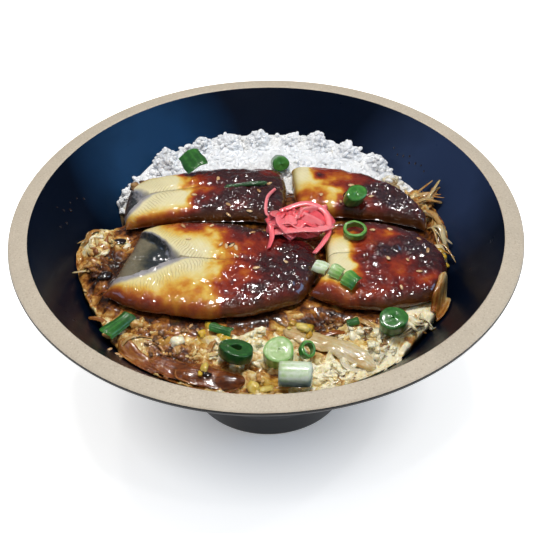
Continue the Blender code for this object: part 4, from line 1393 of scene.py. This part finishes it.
# white grains, then those that broth has stained, then near black for painted shade where the core runs
# under the egg
riceTones = [
    (0.0, (1.0, 1.0, 1.0)), (0.5, (0.98, 0.99, 1.0)), (0.7, (0.72, 0.63, 0.42)), (0.85, (0.30, 0.18, 0.06)),
    (1.0, (0.02, 0.01, 0.005)),
]
riceFinish = toneMaterial("cookedRice", riceTones, 0.45, beadSize=0.0020, bumpDepth=0.00004, toneSpread=0.2,
                          coat=0.1, coatRoughness=0.3, subsurface=0.35, radius=(1, 0.95, 0.9))
riceCore = buildRiceCore(riceFinish)
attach(riceCore, "root")
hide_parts("rice")
riceGrains = scatterRice(riceFinish, riceCore)
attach(riceGrains, "root")
print("rice filled")


# Strips, slices and sauce over the bed

onionTones = [
    (0.00, (0.070, 0.016, 0.004)), (0.25, (0.25, 0.065, 0.010)), (0.50, (0.42, 0.19, 0.040)),
    (0.75, (0.56, 0.42, 0.20)), (1.00, (0.68, 0.60, 0.44)),
]
onionFinish = toneMaterial("stewedOnion", onionTones, 0.22, beadSize=0.0016, bumpDepth=0.00014,
                           toneSpread=0.25, streaks=0.12, coat=0.4, coatRoughness=0.06, subsurface=0.3,
                           radius=(1, 0.6, 0.25), specular=0.5)
onionLook = {
    # start, end, sideways bow, width, arch, then tone at the start, at the end and strength of streaks
    "onion_slice_1": ((6, -47.5), (41, -67), 2.0, 8.5, 1.6, 0.68, 0.80, 0.05),
    "onion_slice_2": ((-46, -60.5), (-9, -74), -2.0, 9.5, 1.6, 0.20, 0.06, 0.05),
    "onion_slice_3": ((-58, -49), (-40, -68), -2.0, 7.0, 1.2, 0.42, 0.20, 0.05),
    "onion_slice_4": ((66, -38), (72, -23), -1.0, 6.0, 2.0, 0.28, 0.66, 0.10),
    "thick": 1.0, "grid": (61, 23),
}


def evenOut(field, passes):
    for _ in range(passes):
        padded = np.pad(field, 1, mode="edge")
        field = (padded[:-2, 1:-1] + padded[2:, 1:-1] + padded[1:-1, :-2] + padded[1:-1, 2:] + 2 * field) / 6
    return field


def buildOnion(name, seed):
    start, end, bow, width, arch, first, last, streak = onionLook[name]
    start, end = np.array(start), np.array(end)
    run = end - start
    side = np.array((-run[1], run[0])) / np.hypot(*run)
    rows, columns = onionLook["grid"]
    t, w = np.meshgrid(np.sin(np.linspace(-math.pi / 2, math.pi / 2, rows)) / 2 + 0.5,
                       np.sin(np.linspace(-math.pi / 2, math.pi / 2, columns)), indexing="ij")
    half = width / 2 * np.maximum(0.04, 1 - np.abs(2 * t - 1) ** 5) ** 0.6
    half = half * (1 + 0.07 * softField(t * 40, w * 2, 7, seed))
    away = bow * (1 - (2 * t - 1) ** 2)
    x = start[0] + run[0] * t + side[0] * (away + w * half)
    y = start[1] + run[1] * t + side[1] * (away + w * half)
    rest = [[bedGround.around(px, py, 1.4) for px, py in zip(*row)] for row in zip(x.tolist(), y.tolist())]
    rest = np.maximum(evenOut(np.array(rest), 6), wallHeight(np.hypot(x, y) + 1.2))
    curve = 0.5 * arch * (1 - w * w) + 0.06 * np.sin(w * 12 + 1.5 * t) * (1 - w * w)
    body = onionLook["thick"] * ((1 - w ** 4) ** 0.5 * (1 - (2 * t - 1) ** 12) ** 0.5)
    mesh = slab(name + "_piece", x, y, rest + curve - 0.3 + 0.6 * body, rest + curve - 0.3 - 0.4 * body)
    tone = first + (last - first) * t + streak * np.sin(w * 12 + 2 * t + seed)
    tone = tone + 0.12 * softField(x, y, 5, seed + 3)
    setNumbers(mesh, "tone", np.clip(np.concatenate([tone.ravel(), tone.ravel()]), 0, 1))
    setNumbers(mesh, "across", np.concatenate([(w * half).ravel()] * 2))
    piece = finishObject(name + "_piece", mesh, onionFinish)
    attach(piece, "root")
    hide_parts(name)
    return piece


onions = [buildOnion(f"onion_slice_{k}", 20 + k) for k in (1, 2, 3, 4)]
ground = Ground(eggBed, *fillets.values(), *onions)
print("onion slices laid")

curds = scatterCurds()
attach(curds, "root")
print("curds scattered")

stripLook = {
    "seed": 31, "count": 42, "thick": 0.5, "lengths": (7, 15), "bend": 1.3, "widths": (1.2, 2.8),
    # places tried, in mm along x and y, how far they stay from the fillets, and the furthest reach of an end
    "tries": 3000, "area": ((-78, 76), (-82, 42)), "fromFillets": 4.0, "reach": 79,
    "shredWidths": (0.8, 1.9), "firstShred": 2.4, "copies": 6,
    # shreds that stand out at the edge of the bed: points, height above the bed
    "shreds": (
        ((60, 33, -1), (65, 37, 2.2), (69, 37, 3.0)), ((62, 27, -1), (68, 29, 2.6), (73, 31, 1.6)),
        ((66, 16, -1), (71, 20, 2.8), (74, 17, 1.8)), ((68, 2, -1), (73, 1, 2.4), (75, -4, 1)),
        ((-68, 16, -1), (-73, 13, 2.8), (-76, 8, 1.2)), ((-66, -4, -1), (-72, -7, 2.4), (-76, -4, 1)),
        ((50, -52, -1), (56, -48, 2.0), (62, -43, 1)), ((66, 26, 0), (71, 31, 3.0), (73, 37, 5.0)),
        ((64, 31, 0), (68, 35, 3.0), (74, 34, 4.0)), ((67, 24, 0), (71, 22, 3.2), (74, 13, 2.0)),
        ((69, 14, 0), (73, 10, 3.0), (75, 3, 1.8)),
    ),
}


def buildStrips():
    look, draw = stripLook, random.Random(stripLook["seed"])
    parts, tones = [], []

    def drape(line, width, tone, steps=12):
        points, faces = ribbon([Vector(p) for p in line], width, look["thick"], steps, sides=6,
                               twist=draw.uniform(-0.9, 0.9), taper=0.55)
        parts.append((points, faces))
        tones.append(min(1, max(0, tone)))

    for points in look["shreds"]:
        for copy in range(look["copies"]):
            line = []
            for k, (x, y, rise) in enumerate(points):
                spread = 1.8 * (k + 0.5) * (copy > 0)
                px, py = x + draw.uniform(-spread, spread), y + draw.uniform(-spread, spread)
                base = max(ground.top(px, py), wallHeight(math.hypot(px, py)) + 1.0)
                line.append((px, py, base + rise * (0.75 if copy == 0 else draw.uniform(0.1, 0.6))))
            width = draw.uniform(*look["shredWidths"]) if copy else look["firstShred"]
            drape(line, width, draw.uniform(0.45, 0.88))
    spread = Ground(eggBed, *onions)
    pick = np.random.default_rng(look["seed"])
    xs, ys = (pick.uniform(low, high, look["tries"]) for low, high in look["area"])
    inside = (distanceOutside(xs, ys, eggEdge) <= 0) & (clearOfFillets(xs, ys) > look["fromFillets"])
    for x, y in list(zip(xs[inside].tolist(), ys[inside].tolist()))[:look["count"]]:
        if bedGround.top(x, y) < 50 or spread.top(x, y) > bedGround.top(x, y) + 0.2:
            continue
        angle, long = draw.uniform(0, math.pi), draw.uniform(*look["lengths"])
        bend = draw.uniform(-look["bend"], look["bend"])
        line = []
        for k in range(4):
            out = long * (k / 3 - 0.5)
            px, py = x + out * math.cos(angle + bend * k / 3), y + out * math.sin(angle + bend * k / 3)
            inward = min(1, look["reach"] / math.hypot(px, py))
            px, py = px * inward, py * inward
            rest = max(spread.top(px, py), wallHeight(math.hypot(px, py) + 0.8))
            rest = min(rest, spread.top(x, y) + 1.5) + draw.uniform(-0.1, 0.5) * (0 < k < 3) - 0.2
            line.append((px, py, rest))
        ax, ay = np.array([x]), np.array([y])
        broth = 0.4 + humps(ax, ay, eggLook["brothSpots"])[0] - humps(ax, ay, eggLook["curdSpots"])[0]
        drape(line, draw.uniform(*look["widths"]), 0.88 - 0.9 * broth + draw.gauss(0, 0.12))
    return finishObject("onionStrips", mergeParts("onionStrips", parts, tones), onionFinish)


strips = buildStrips()
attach(strips, "root")

# x, y, size and number of yolk coloured lumps, and of dark crumbs with how far they spread
yolkSpots = (
    (71.6, -4.8, 2.3, 5), (73, -8, 1.8, 3), (12.6, -46.4, 2.0, 4), (17, -48, 1.8, 3), (-24, -50, 2.0, 3),
    (-19, -53, 2.3, 4), (-6.4, -79, 1.8, 5), (0, -78, 2.0, 4), (-26, -68, 1.9, 2), (-12, -54.5, 1.8, 3),
    (70, 1, 1.6, 2), (8, -46, 1.6, 3),
)
crumbSpots = (
    (25.2, -45.1, 1.1, 16, 3.5), (37.8, -50.6, 0.9, 10, 3.0), (-45.9, -49.1, 1.1, 12, 6),
    (-34, -46, 0.9, 6, 4), (30, -72, 0.7, 8, 6), (45, -55, 0.8, 8, 4), (-57.5, 41.0, 1.5, 14, 3.5),
)
yolkTones = [(0.0, (0.68, 0.54, 0.16)), (0.5, (0.62, 0.40, 0.030)), (1.0, (0.42, 0.22, 0.02))]
crumbTones = [(0.0, (0.36, 0.20, 0.075)), (0.5, (0.19, 0.085, 0.028)), (1.0, (0.06, 0.024, 0.010))]
yolkFinish = toneMaterial("yolkCurds", yolkTones, 0.3, beadSize=0.0012, bumpDepth=0.0002, toneSpread=0.6,
                          coat=0.5, coatRoughness=0.1, subsurface=0.2, radius=(1, 0.7, 0.2))
crumbFinish = toneMaterial("brownCrumbs", crumbTones, 0.3, beadSize=0.0009, bumpDepth=0.0003,
                           toneSpread=0.7, coat=0.6, coatRoughness=0.08)


def scatterLumps(name, spots, finish, seed):
    draw = random.Random(seed)
    shapes = [blobMesh(f"{name}{k}", 1.0, 1.0, seed + k, detail=2, squash=0.75) for k in range(4)]
    laid = []
    for x, y, size, count, *spread in spots:
        reach = spread[0] if spread else size * 1.6
        for _ in range(count):
            px, py = x + draw.gauss(0, reach / 2), y + draw.gauss(0, reach / 2)
            much = size * draw.uniform(0.45, 1.0)
            if math.hypot(px, py) + much > wallRadius(ground.top(px, py)) - 0.8:
                continue
            grow = (much * draw.uniform(0.9, 1.6), much, much * draw.uniform(0.5, 0.8))
            laid.append(((px, py, ground.top(px, py) + 0.1 * much), (0, 0, draw.uniform(0, 6.3)), grow,
                         draw.randrange(4), draw.random()))
    piece = scatter(name, shapes, laid, finish)
    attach(piece, "root")
    return piece


scatterLumps("yolkLumps", yolkSpots, yolkFinish, 60)
scatterLumps("brownCrumbs", crumbSpots, crumbFinish, 70)
print("strips, yolk and crumbs scattered")


# Spring onion

leafTones = [
    (0.00, (0.010, 0.050, 0.013)), (0.22, (0.020, 0.105, 0.018)), (0.42, (0.055, 0.23, 0.035)),
    (0.62, (0.20, 0.42, 0.09)), (0.80, (0.45, 0.60, 0.28)), (1.00, (0.74, 0.82, 0.66)),
]
greenFinish = toneMaterial("springOnion", leafTones, 0.28, beadSize=0.0014, bumpDepth=0.00008,
                           toneSpread=0.22, coat=0.5, coatRoughness=0.1, subsurface=0.15,
                           radius=(0.6, 1, 0.4))
ringLook = {
    # outer and inner radius, length, tilt, turn, then squash, tone outside, tone of the cut and layers
    "spring_onion_ring_1": (3.7, 0.2, 6.0, 62, 10, 0.95, 0.30, 0.40, 1),
    "spring_onion_ring_2": (4.8, 0.2, 6.0, 24, 40, 0.80, 0.30, 0.40, 1),
    "spring_onion_ring_3": (4.9, 3.7, 2.8, 10, 0, 0.90, 0.34, 0.56, 1),
    "spring_onion_ring_4": (7.2, 2.4, 4.4, 16, 150, 0.82, 0.10, 0.20, 1),
    "spring_onion_ring_5": (6.1, 0.2, 5.5, 10, 0, 0.97, 0.66, 0.80, 3),
    "spring_onion_ring_6": (3.7, 2.6, 2.6, 40, 60, 0.90, 0.30, 0.50, 1),
    "spring_onion_ring_7": (5.6, 0.2, 6.0, 14, 0, 0.93, 0.26, 0.30, 2),
    "spring_onion_stalk": (5.0, 1.2, 12.5, 90, 86, 0.95, 0.94, 0.99, 4),
}
leafLook = {
    # length, width, turn, tilt, then tone at each end and how far it curls
    "spring_onion_leaf_1": (13.0, 10.0, 113, -14, 0.20, 0.28, 0.10),
    "spring_onion_leaf_2": (15.0, 6.5, 49, 12, 0.34, 0.18, 0.22),
    "spring_onion_leaf_3": (9.5, 4.0, -25, 8, 0.30, 0.22, 0.2),
    "spring_onion_leaf_4": (5.0, 3.5, 15, 0, 0.20, 0.26, 0.2),
    "spring_onion_leaf_5": (18.0, 2.0, 4, 0, 0.10, 0.02, 0.1),
    "spring_onion_slice_1": (6.2, 5.8, -30, 14, 0.98, 0.84, 0.24),
    "spring_onion_slice_2": (5.8, 5.8, -40, 18, 0.84, 0.62, 0.24),
    "spring_onion_slice_3": (6.8, 6.8, -48, 20, 0.62, 0.26, 0.2),
}


greenForm = {
    # rows up a ring's side, rows across its cut, steps round it, and how deep it sits in mm
    "sideRows": 9, "cutRows": 15, "steps": 72, "ringSink": 0.5,
    "leafGrid": (41, 21), "leafThick": 0.62, "leafSink": 0.4,
}


def nodeMiddle(name):
    corners = [frame["nodes"][name].matrix_world @ v.co for v in frame["nodes"][name].data.vertices]
    return [(min(c[i] for c in corners) + max(c[i] for c in corners)) / 2 for i in range(3)]


def placeLikeNode(mesh, name, tilt, turn, sink):
    mesh.transform(Euler((math.radians(tilt), 0, math.radians(turn))).to_matrix().to_4x4())
    spots = np.array([v.co for v in mesh.vertices])
    middle = (spots.min(0) + spots.max(0)) / 2
    target = nodeMiddle(name)
    move = [target[i] - middle[i] for i in range(3)]
    move[2] -= sink * mm
    mesh.transform(Matrix.Translation(move))


def buildRing(name, seed):
    radius, hole, length, tilt, turn, squash, outside, cut, layers = ringLook[name]
    long = np.linspace(-1, 1, greenForm["sideRows"])
    radial = np.linspace(0, 1, greenForm["cutRows"])
    # walks up the outside, across the top cut, down the hole and back across the lower cut
    section = [(1.0, z, "side") for z in long[:-1] * 0.96] + [(1 - r, 1.0, "cut") for r in radial[:-1]]
    section += [(0.0, -z, "hole") for z in long[:-1]] + [(r, -1.0, "cut") for r in radial[:-1]]
    steps = greenForm["steps"]
    angle = np.arange(steps) * 2 * math.pi / steps
    wave = 1 + 0.035 * np.sin(2 * angle + seed) + 0.02 * np.sin(3 * angle + 2 * seed)
    wave = wave + 0.012 * np.sin(7 * angle + seed)
    points, tones = [], []
    for share, z, part in section:
        reach = hole + (radius - hole) * share
        layer = share * layers * 2 * math.pi + 0.5 * np.sin(angle + seed)
        groove = 0.03 * np.sin(layer) if part == "cut" else 0.0
        rounded = 0.25 * (share > 0.92) * (part == "cut")
        height = (z * length / 2) + (groove - rounded) * math.copysign(1, z if z else 1) * (part == "cut")
        height = height + 0.25 * np.sin(2 * angle + 1.3 * seed) * (z > 0)
        bulge = 1 - 0.03 * z * z
        x = reach * bulge * wave * np.cos(angle)
        y = reach * bulge * wave * np.sin(angle) * squash
        points.append(np.stack([x, y, height + 0 * x], -1))
        if part == "side":
            tone = outside + 0.05 * np.sin(14 * angle + seed) + 0.04 * z
        elif part == "hole":
            tone = cut - 0.12 + 0 * angle
        else:
            tone = cut + 0.035 * np.cos(layer) - (cut - outside) * (share > 0.88)
        tones.append(tone)
    rows = len(section)
    index = np.arange(rows * steps).reshape(rows, steps)
    below, after = np.roll(index, -1, axis=0), np.roll(index, -1, axis=1)
    corner = np.roll(below, -1, axis=1)
    faces = np.stack([q.ravel() for q in (index, after, corner, below)], axis=1).tolist()
    mesh = meshFromArrays(name + "_cut", np.concatenate(points), faces)
    faceOutward(mesh)
    setNumbers(mesh, "tone", np.clip(np.concatenate(tones), 0, 1))
    placeLikeNode(mesh, name, tilt, turn, greenForm["ringSink"])
    return mesh


def buildLeaf(name, seed):
    length, width, turn, tilt, first, last, curl = leafLook[name]
    rows, columns = greenForm["leafGrid"]
    u, v = np.meshgrid(np.linspace(-1, 1, rows), np.linspace(-1, 1, columns), indexing="ij")
    x = u * length / 2 * (1 - 0.06 * v * v) + 0.03 * length * np.sin(3 * v + seed)
    y = v * width / 2 * (1 + 0.06 * np.sin(3 * u + seed))
    arch = curl * width * (1 - v * v) + 0.02 * length * np.sin(2.4 * u + seed)
    ribs = 0.06 * np.sin(v * 11 + seed)
    body = greenForm["leafThick"] * ((1 - np.abs(v) ** 8) * (1 - np.abs(u) ** 14)) ** 0.5
    mesh = slab(name + "_cut", x, y, arch + ribs + body, arch - body)
    tone = first + (last - first) * (u + 1) / 2 + 0.05 * np.sin(v * 11 + seed) + 0.03 * np.sin(v * 27)
    tone = tone + 0.10 * (np.abs(u) > 0.94)
    setNumbers(mesh, "tone", np.clip(np.concatenate([tone.ravel(), tone.ravel() + 0.05]), 0, 1))
    placeLikeNode(mesh, name, tilt, turn, greenForm["leafSink"])
    return mesh


for k, name in enumerate([*ringLook, *leafLook]):
    made = buildRing(name, k + 1) if name in ringLook else buildLeaf(name, k + 1)
    piece = finishObject(name + "_cut", made, greenFinish)
    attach(piece, "root")
    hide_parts(name)
print("spring onion cut")


# Pickled ginger

gingerLook = {
    "centre": (13.5, 6.0), "reach": (14.5, 10.0), "height": 6.5, "sink": 3.0, "strands": 13, "seed": 17,
    "widths": (4.5, 6.0, 7.5, 9.0), "thick": 0.6, "looseThick": 0.8,
    # shreds that hang out of the heap: points with their rise, width and tone
    "loose": (
        (((4, 8, 3.5), (0.5, 14, 4.0), (1.0, 22, 3.0), (4.5, 29, 2.2)), 1.5, 0.8),
        (((6, 9, 5.5), (17, 12, 7.0), (25, 8, 6.5), (25.5, -2, 4.0), (19.5, -12, 1.6)), 2.6, 0.6),
        (((15, 10, 6.0), (22, 15, 4.5), (26, 19, 2.4)), 2.4, 0.5),
        (((2, 3, 4.5), (2.5, -3.5, 3.5), (1.0, -10, 1.8)), 2.4, 0.4),
    ),
}


def buildGinger(finish):
    look, draw = gingerLook, random.Random(gingerLook["seed"])
    (cx, cy), (wide, deep) = look["centre"], look["reach"]
    level = ground.around(cx, cy, 9) + 0.3
    parts, tones = [], []

    def dome(share):
        return level + (look["height"] - 1.6) * (1 - min(1, share) ** 3)

    solid = bmesh.new()
    bmesh.ops.create_icosphere(solid, subdivisions=4, radius=1)
    for vert in solid.verts:
        x, y = cx + 0.80 * wide * vert.co.x, cy + 0.80 * deep * vert.co.y
        share = math.hypot(vert.co.x, vert.co.y) * 0.8
        low = max(ground.top(x, y) + 0.2, level - look["sink"])
        high = max(low + 0.3, dome(share) - 1.0 + 0.5 * math.sin(x * 1.7) * math.cos(y * 1.9))
        vert.co = (x, y, low + (high - low) * (vert.co.z + 1) / 2)
    parts.append(listsFromSolid(solid))
    tones.append(0.35)
    for _ in range(look["strands"]):
        angle, turn, bow = draw.uniform(0, 6.3), draw.uniform(0.9, 2.7), draw.uniform(0.1, 0.8)
        line = []
        for t in (0, 0.25, 0.5, 0.75, 1):
            a = angle + turn * t
            out = min(0.97, draw.uniform(0.80, 0.99) - bow * math.sin(math.pi * t))
            x, y = cx + wide * out * math.cos(a), cy + deep * out * math.sin(a)
            z = max(dome(abs(out)) + draw.uniform(-0.6, 0.9), ground.top(x, y) + 0.6)
            line.append((x, y, z))
        width = draw.choice(look["widths"])
        parts.append(ribbon([Vector(p) for p in line], width, look["thick"], 18, sides=8,
                            twist=draw.uniform(-0.35, 0.35), taper=0.25))
        tones.append(draw.uniform(0.15, 0.9))
    for points, width, tone in look["loose"]:
        line = []
        for x, y, rise in points:
            away = ease(math.hypot((x - cx) / wide, (y - cy) / deep) - 0.6)
            rest = ground.around(x, y, 1.0) + 0.7
            line.append(Vector((x, y, max(rest, (level + rise) * (1 - away) + rest * away))))
        parts.append(ribbon(line, width, look["looseThick"], 30, sides=8, twist=0.9, taper=0.15))
        tones.append(tone)
    piece = finishObject("gingerShreds", mergeParts("gingerShreds", parts, tones), finish)
    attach(piece, "root")
    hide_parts("pickled_ginger")


gingerTones = [
    (0.0, (0.80, 0.065, 0.080)), (0.35, (1.0, 0.14, 0.17)), (0.8, (1.0, 0.25, 0.27)),
    (1.0, (1.0, 0.42, 0.42)),
]
gingerFinish = toneMaterial("pickledGinger", gingerTones, 0.3, beadSize=0.0012, bumpDepth=0.00006,
                            toneSpread=0.3, coat=0.5, coatRoughness=0.06, subsurface=0.25,
                            radius=(1.2, 0.5, 0.45))
buildGinger(gingerFinish)
print("ginger piled")


# Sesame seeds

seedLook = {
    "length": 3.0, "width": 1.8, "thick": 1.0,
    "spots": (
        (-18.4, -6.4), (-16.2, -7.6), (-14.0, -7.2), (-12.2, -8.9), (-34.1, 6.4), (-31.8, -2.3),
        (-15.5, 16.9), (-15.5, 20.5), (-6.7, 17.5), (2.0, 33.5), (-2.5, 28), (-22.3, 6.5), (-5.4, 1.1),
        (32.0, 21.2), (51.3, 2.9), (65.8, -10.3), (53.3, -32), (49.1, -16.4), (61.2, -23.5), (57, -17),
        (44, 1.5), (24, 25), (45, 24), (37, 31), (8, -18), (-4, -22), (-12, -14), (-30, 27), (-20, 38),
        (63, -3), (-30.3, -44), (-27.5, -46), (-58.2, -55.8), (-57.0, -57.8), (-61.5, -55.9), (20, -71),
        (-36, -56),
    ),
    "seed": 4,
}


def scatterSeeds():
    look, draw = seedLook, random.Random(seedLook["seed"])
    solid = bmesh.new()
    bmesh.ops.create_icosphere(solid, subdivisions=2, radius=1)
    for vert in solid.verts:
        narrow = 1 - 0.35 * (vert.co.x + 1) / 2 - 0.12 * vert.co.x ** 2
        vert.co = (vert.co.x * look["length"] / 2 * mm, vert.co.y * look["width"] / 2 * narrow * mm,
                   vert.co.z * look["thick"] / 2 * narrow * mm)
    shape = meshFromSolid("seedShape", solid)
    laid = []
    for x, y in look["spots"]:
        z = max(ground.top(x, y) + 0.25, wallHeight(math.hypot(x, y)) + 0.5)
        grow = [draw.uniform(0.85, 1.1)] * 3
        turn = (draw.uniform(-0.3, 0.3), draw.uniform(-0.3, 0.3), draw.uniform(0, 6.3))
        laid.append(((x, y, z), turn, grow, 0, draw.random()))
    piece = scatter("sesameSeeds", [shape], laid, seedFinish)
    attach(piece, "root")


seedTones = [(0.0, (0.72, 0.52, 0.28)), (0.6, (0.62, 0.38, 0.17)), (1.0, (0.42, 0.22, 0.09))]
seedFinish = toneMaterial("sesame", seedTones, 0.3, beadSize=0.0006, bumpDepth=0.00005, toneSpread=0.3,
                          coat=0.5, coatRoughness=0.1)
scatterSeeds()
print("sesame sown")


# Sauce drops

dropLook = {
    # x, y, half length, half width, height and turn
    "pools": (
        (-66, -14, 3.4, 2.3, 1.6, 0.5), (-63, -19, 1.2, 0.9, 0.6, 0), (-14, -6.5, 1.6, 1.1, 0.6, 0.4),
        (36, 26, 3.5, 2.0, 0.9, 0.8), (44, 14.5, 4.0, 2.2, 1.2, -0.2), (-62, 8, 3.5, 2.0, 0.8, 0.2),
        (7, 2, 1.5, 1.0, 0.5, 0), (-24, -71, 2.5, 1.2, 0.5, -0.3),
    ),
    # degrees round the bowl, height, half size
    "wall": (
        (163, 78.5, 0.7), (165, 80.5, 0.5), (161, 80, 0.45), (168, 77.5, 0.6), (158, 79, 0.4),
        (166, 83, 0.35), (171, 79, 0.5), (156, 77, 0.5), (44, 77.5, 0.5), (42, 78.5, 0.45), (39, 77.5, 0.5),
        (46, 77, 0.45), (41, 76.5, 0.5), (37, 78, 0.4), (48, 78.5, 0.35), (35, 77, 0.4), (-150, 79, 0.5),
        (-153, 80.5, 0.35),
    ),
}


def buildDrops():
    def dropShape(long, wide, high):
        solid = bmesh.new()
        bmesh.ops.create_icosphere(solid, subdivisions=3, radius=1)
        for vert in solid.verts:
            flat = vert.co.z * high if vert.co.z > 0 else vert.co.z * 0.3 * high
            vert.co = (vert.co.x * long * (1 + 0.15 * vert.co.y), vert.co.y * wide, flat)
        return solid

    parts = []
    for x, y, long, wide, high, turn in dropLook["pools"]:
        solid = dropShape(long, wide, high)
        place = Matrix.Translation((x, y, ground.around(x, y, 0.5) - 0.1)) @ Matrix.Rotation(turn, 4, "Z")
        bmesh.ops.transform(solid, matrix=place, verts=solid.verts)
        parts.append(listsFromSolid(solid))
    for angle, height, size in dropLook["wall"]:
        solid = dropShape(size * 1.3, size, size * 0.6)
        a = math.radians(angle)
        lean = Matrix.Rotation(a, 4, "Z") @ Matrix.Rotation(-math.atan2(wallRise, wallRun), 4, "Y")
        spot = (wallRadius(height) * math.cos(a), wallRadius(height) * math.sin(a), height)
        bmesh.ops.transform(solid, matrix=Matrix.Translation(spot) @ lean, verts=solid.verts)
        parts.append(listsFromSolid(solid))
    piece = finishObject("sauceDrops", mergeParts("sauceDrops", parts, [0.5] * len(parts)), sauceFinish)
    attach(piece, "root")


sauceFinish = toneMaterial("darkSauce", [(0.0, (0.020, 0.007, 0.004)), (1.0, (0.006, 0.003, 0.003))], 0.06,
                           beadSize=0.004, bumpDepth=0.00005, toneSpread=1.2, coat=1.0, coatRoughness=0.02)
buildDrops()
print("sauce dripped")


# Dress for the bowl

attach(bowl, "root")
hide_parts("bowl")


# Floor

floorLook = {
    "size": 3.0,
    "paper": [(0, (0.93, 0.93, 0.93)), (1, (0.96, 0.96, 0.96))],
    # the paper glows, with a painted contact shadow under the bowl: share of the reach from the middle,
    # colour
    "reach": 0.2,
    "light": [(0.15, (0.22, 0.217, 0.21)), (0.36, (0.80, 0.79, 0.77)), (0.60, (1, 0.985, 0.95))],
    "strength": 0.92,
}


def addFloor():
    look = floorLook
    solid = bmesh.new()
    bmesh.ops.create_grid(solid, x_segments=2, y_segments=2, size=look["size"])
    mesh = meshFromSolid("paleFloor", solid)
    made, tree, shader = newMaterial("palePaper", 0.8)
    join(colourRamp(unevenTone(tree, 0.3, 0.4), look["paper"]), shader.inputs["Base Color"])
    away = addNode(tree, "ShaderNodeVectorMath", operation="LENGTH")
    join(objectPlace(tree), away.inputs[0])
    near = (Signal(away.outputs["Value"]) * (1 / look["reach"])).clamped()
    # painted shadow: the floor's glow is dimmer near the middle, under the bowl
    join(colourRamp(near, look["light"]), shader.inputs["Emission Color"])
    shader.inputs["Emission Strength"].default_value = look["strength"]
    floor = finishObject("paleFloor", mesh, made)


addFloor()
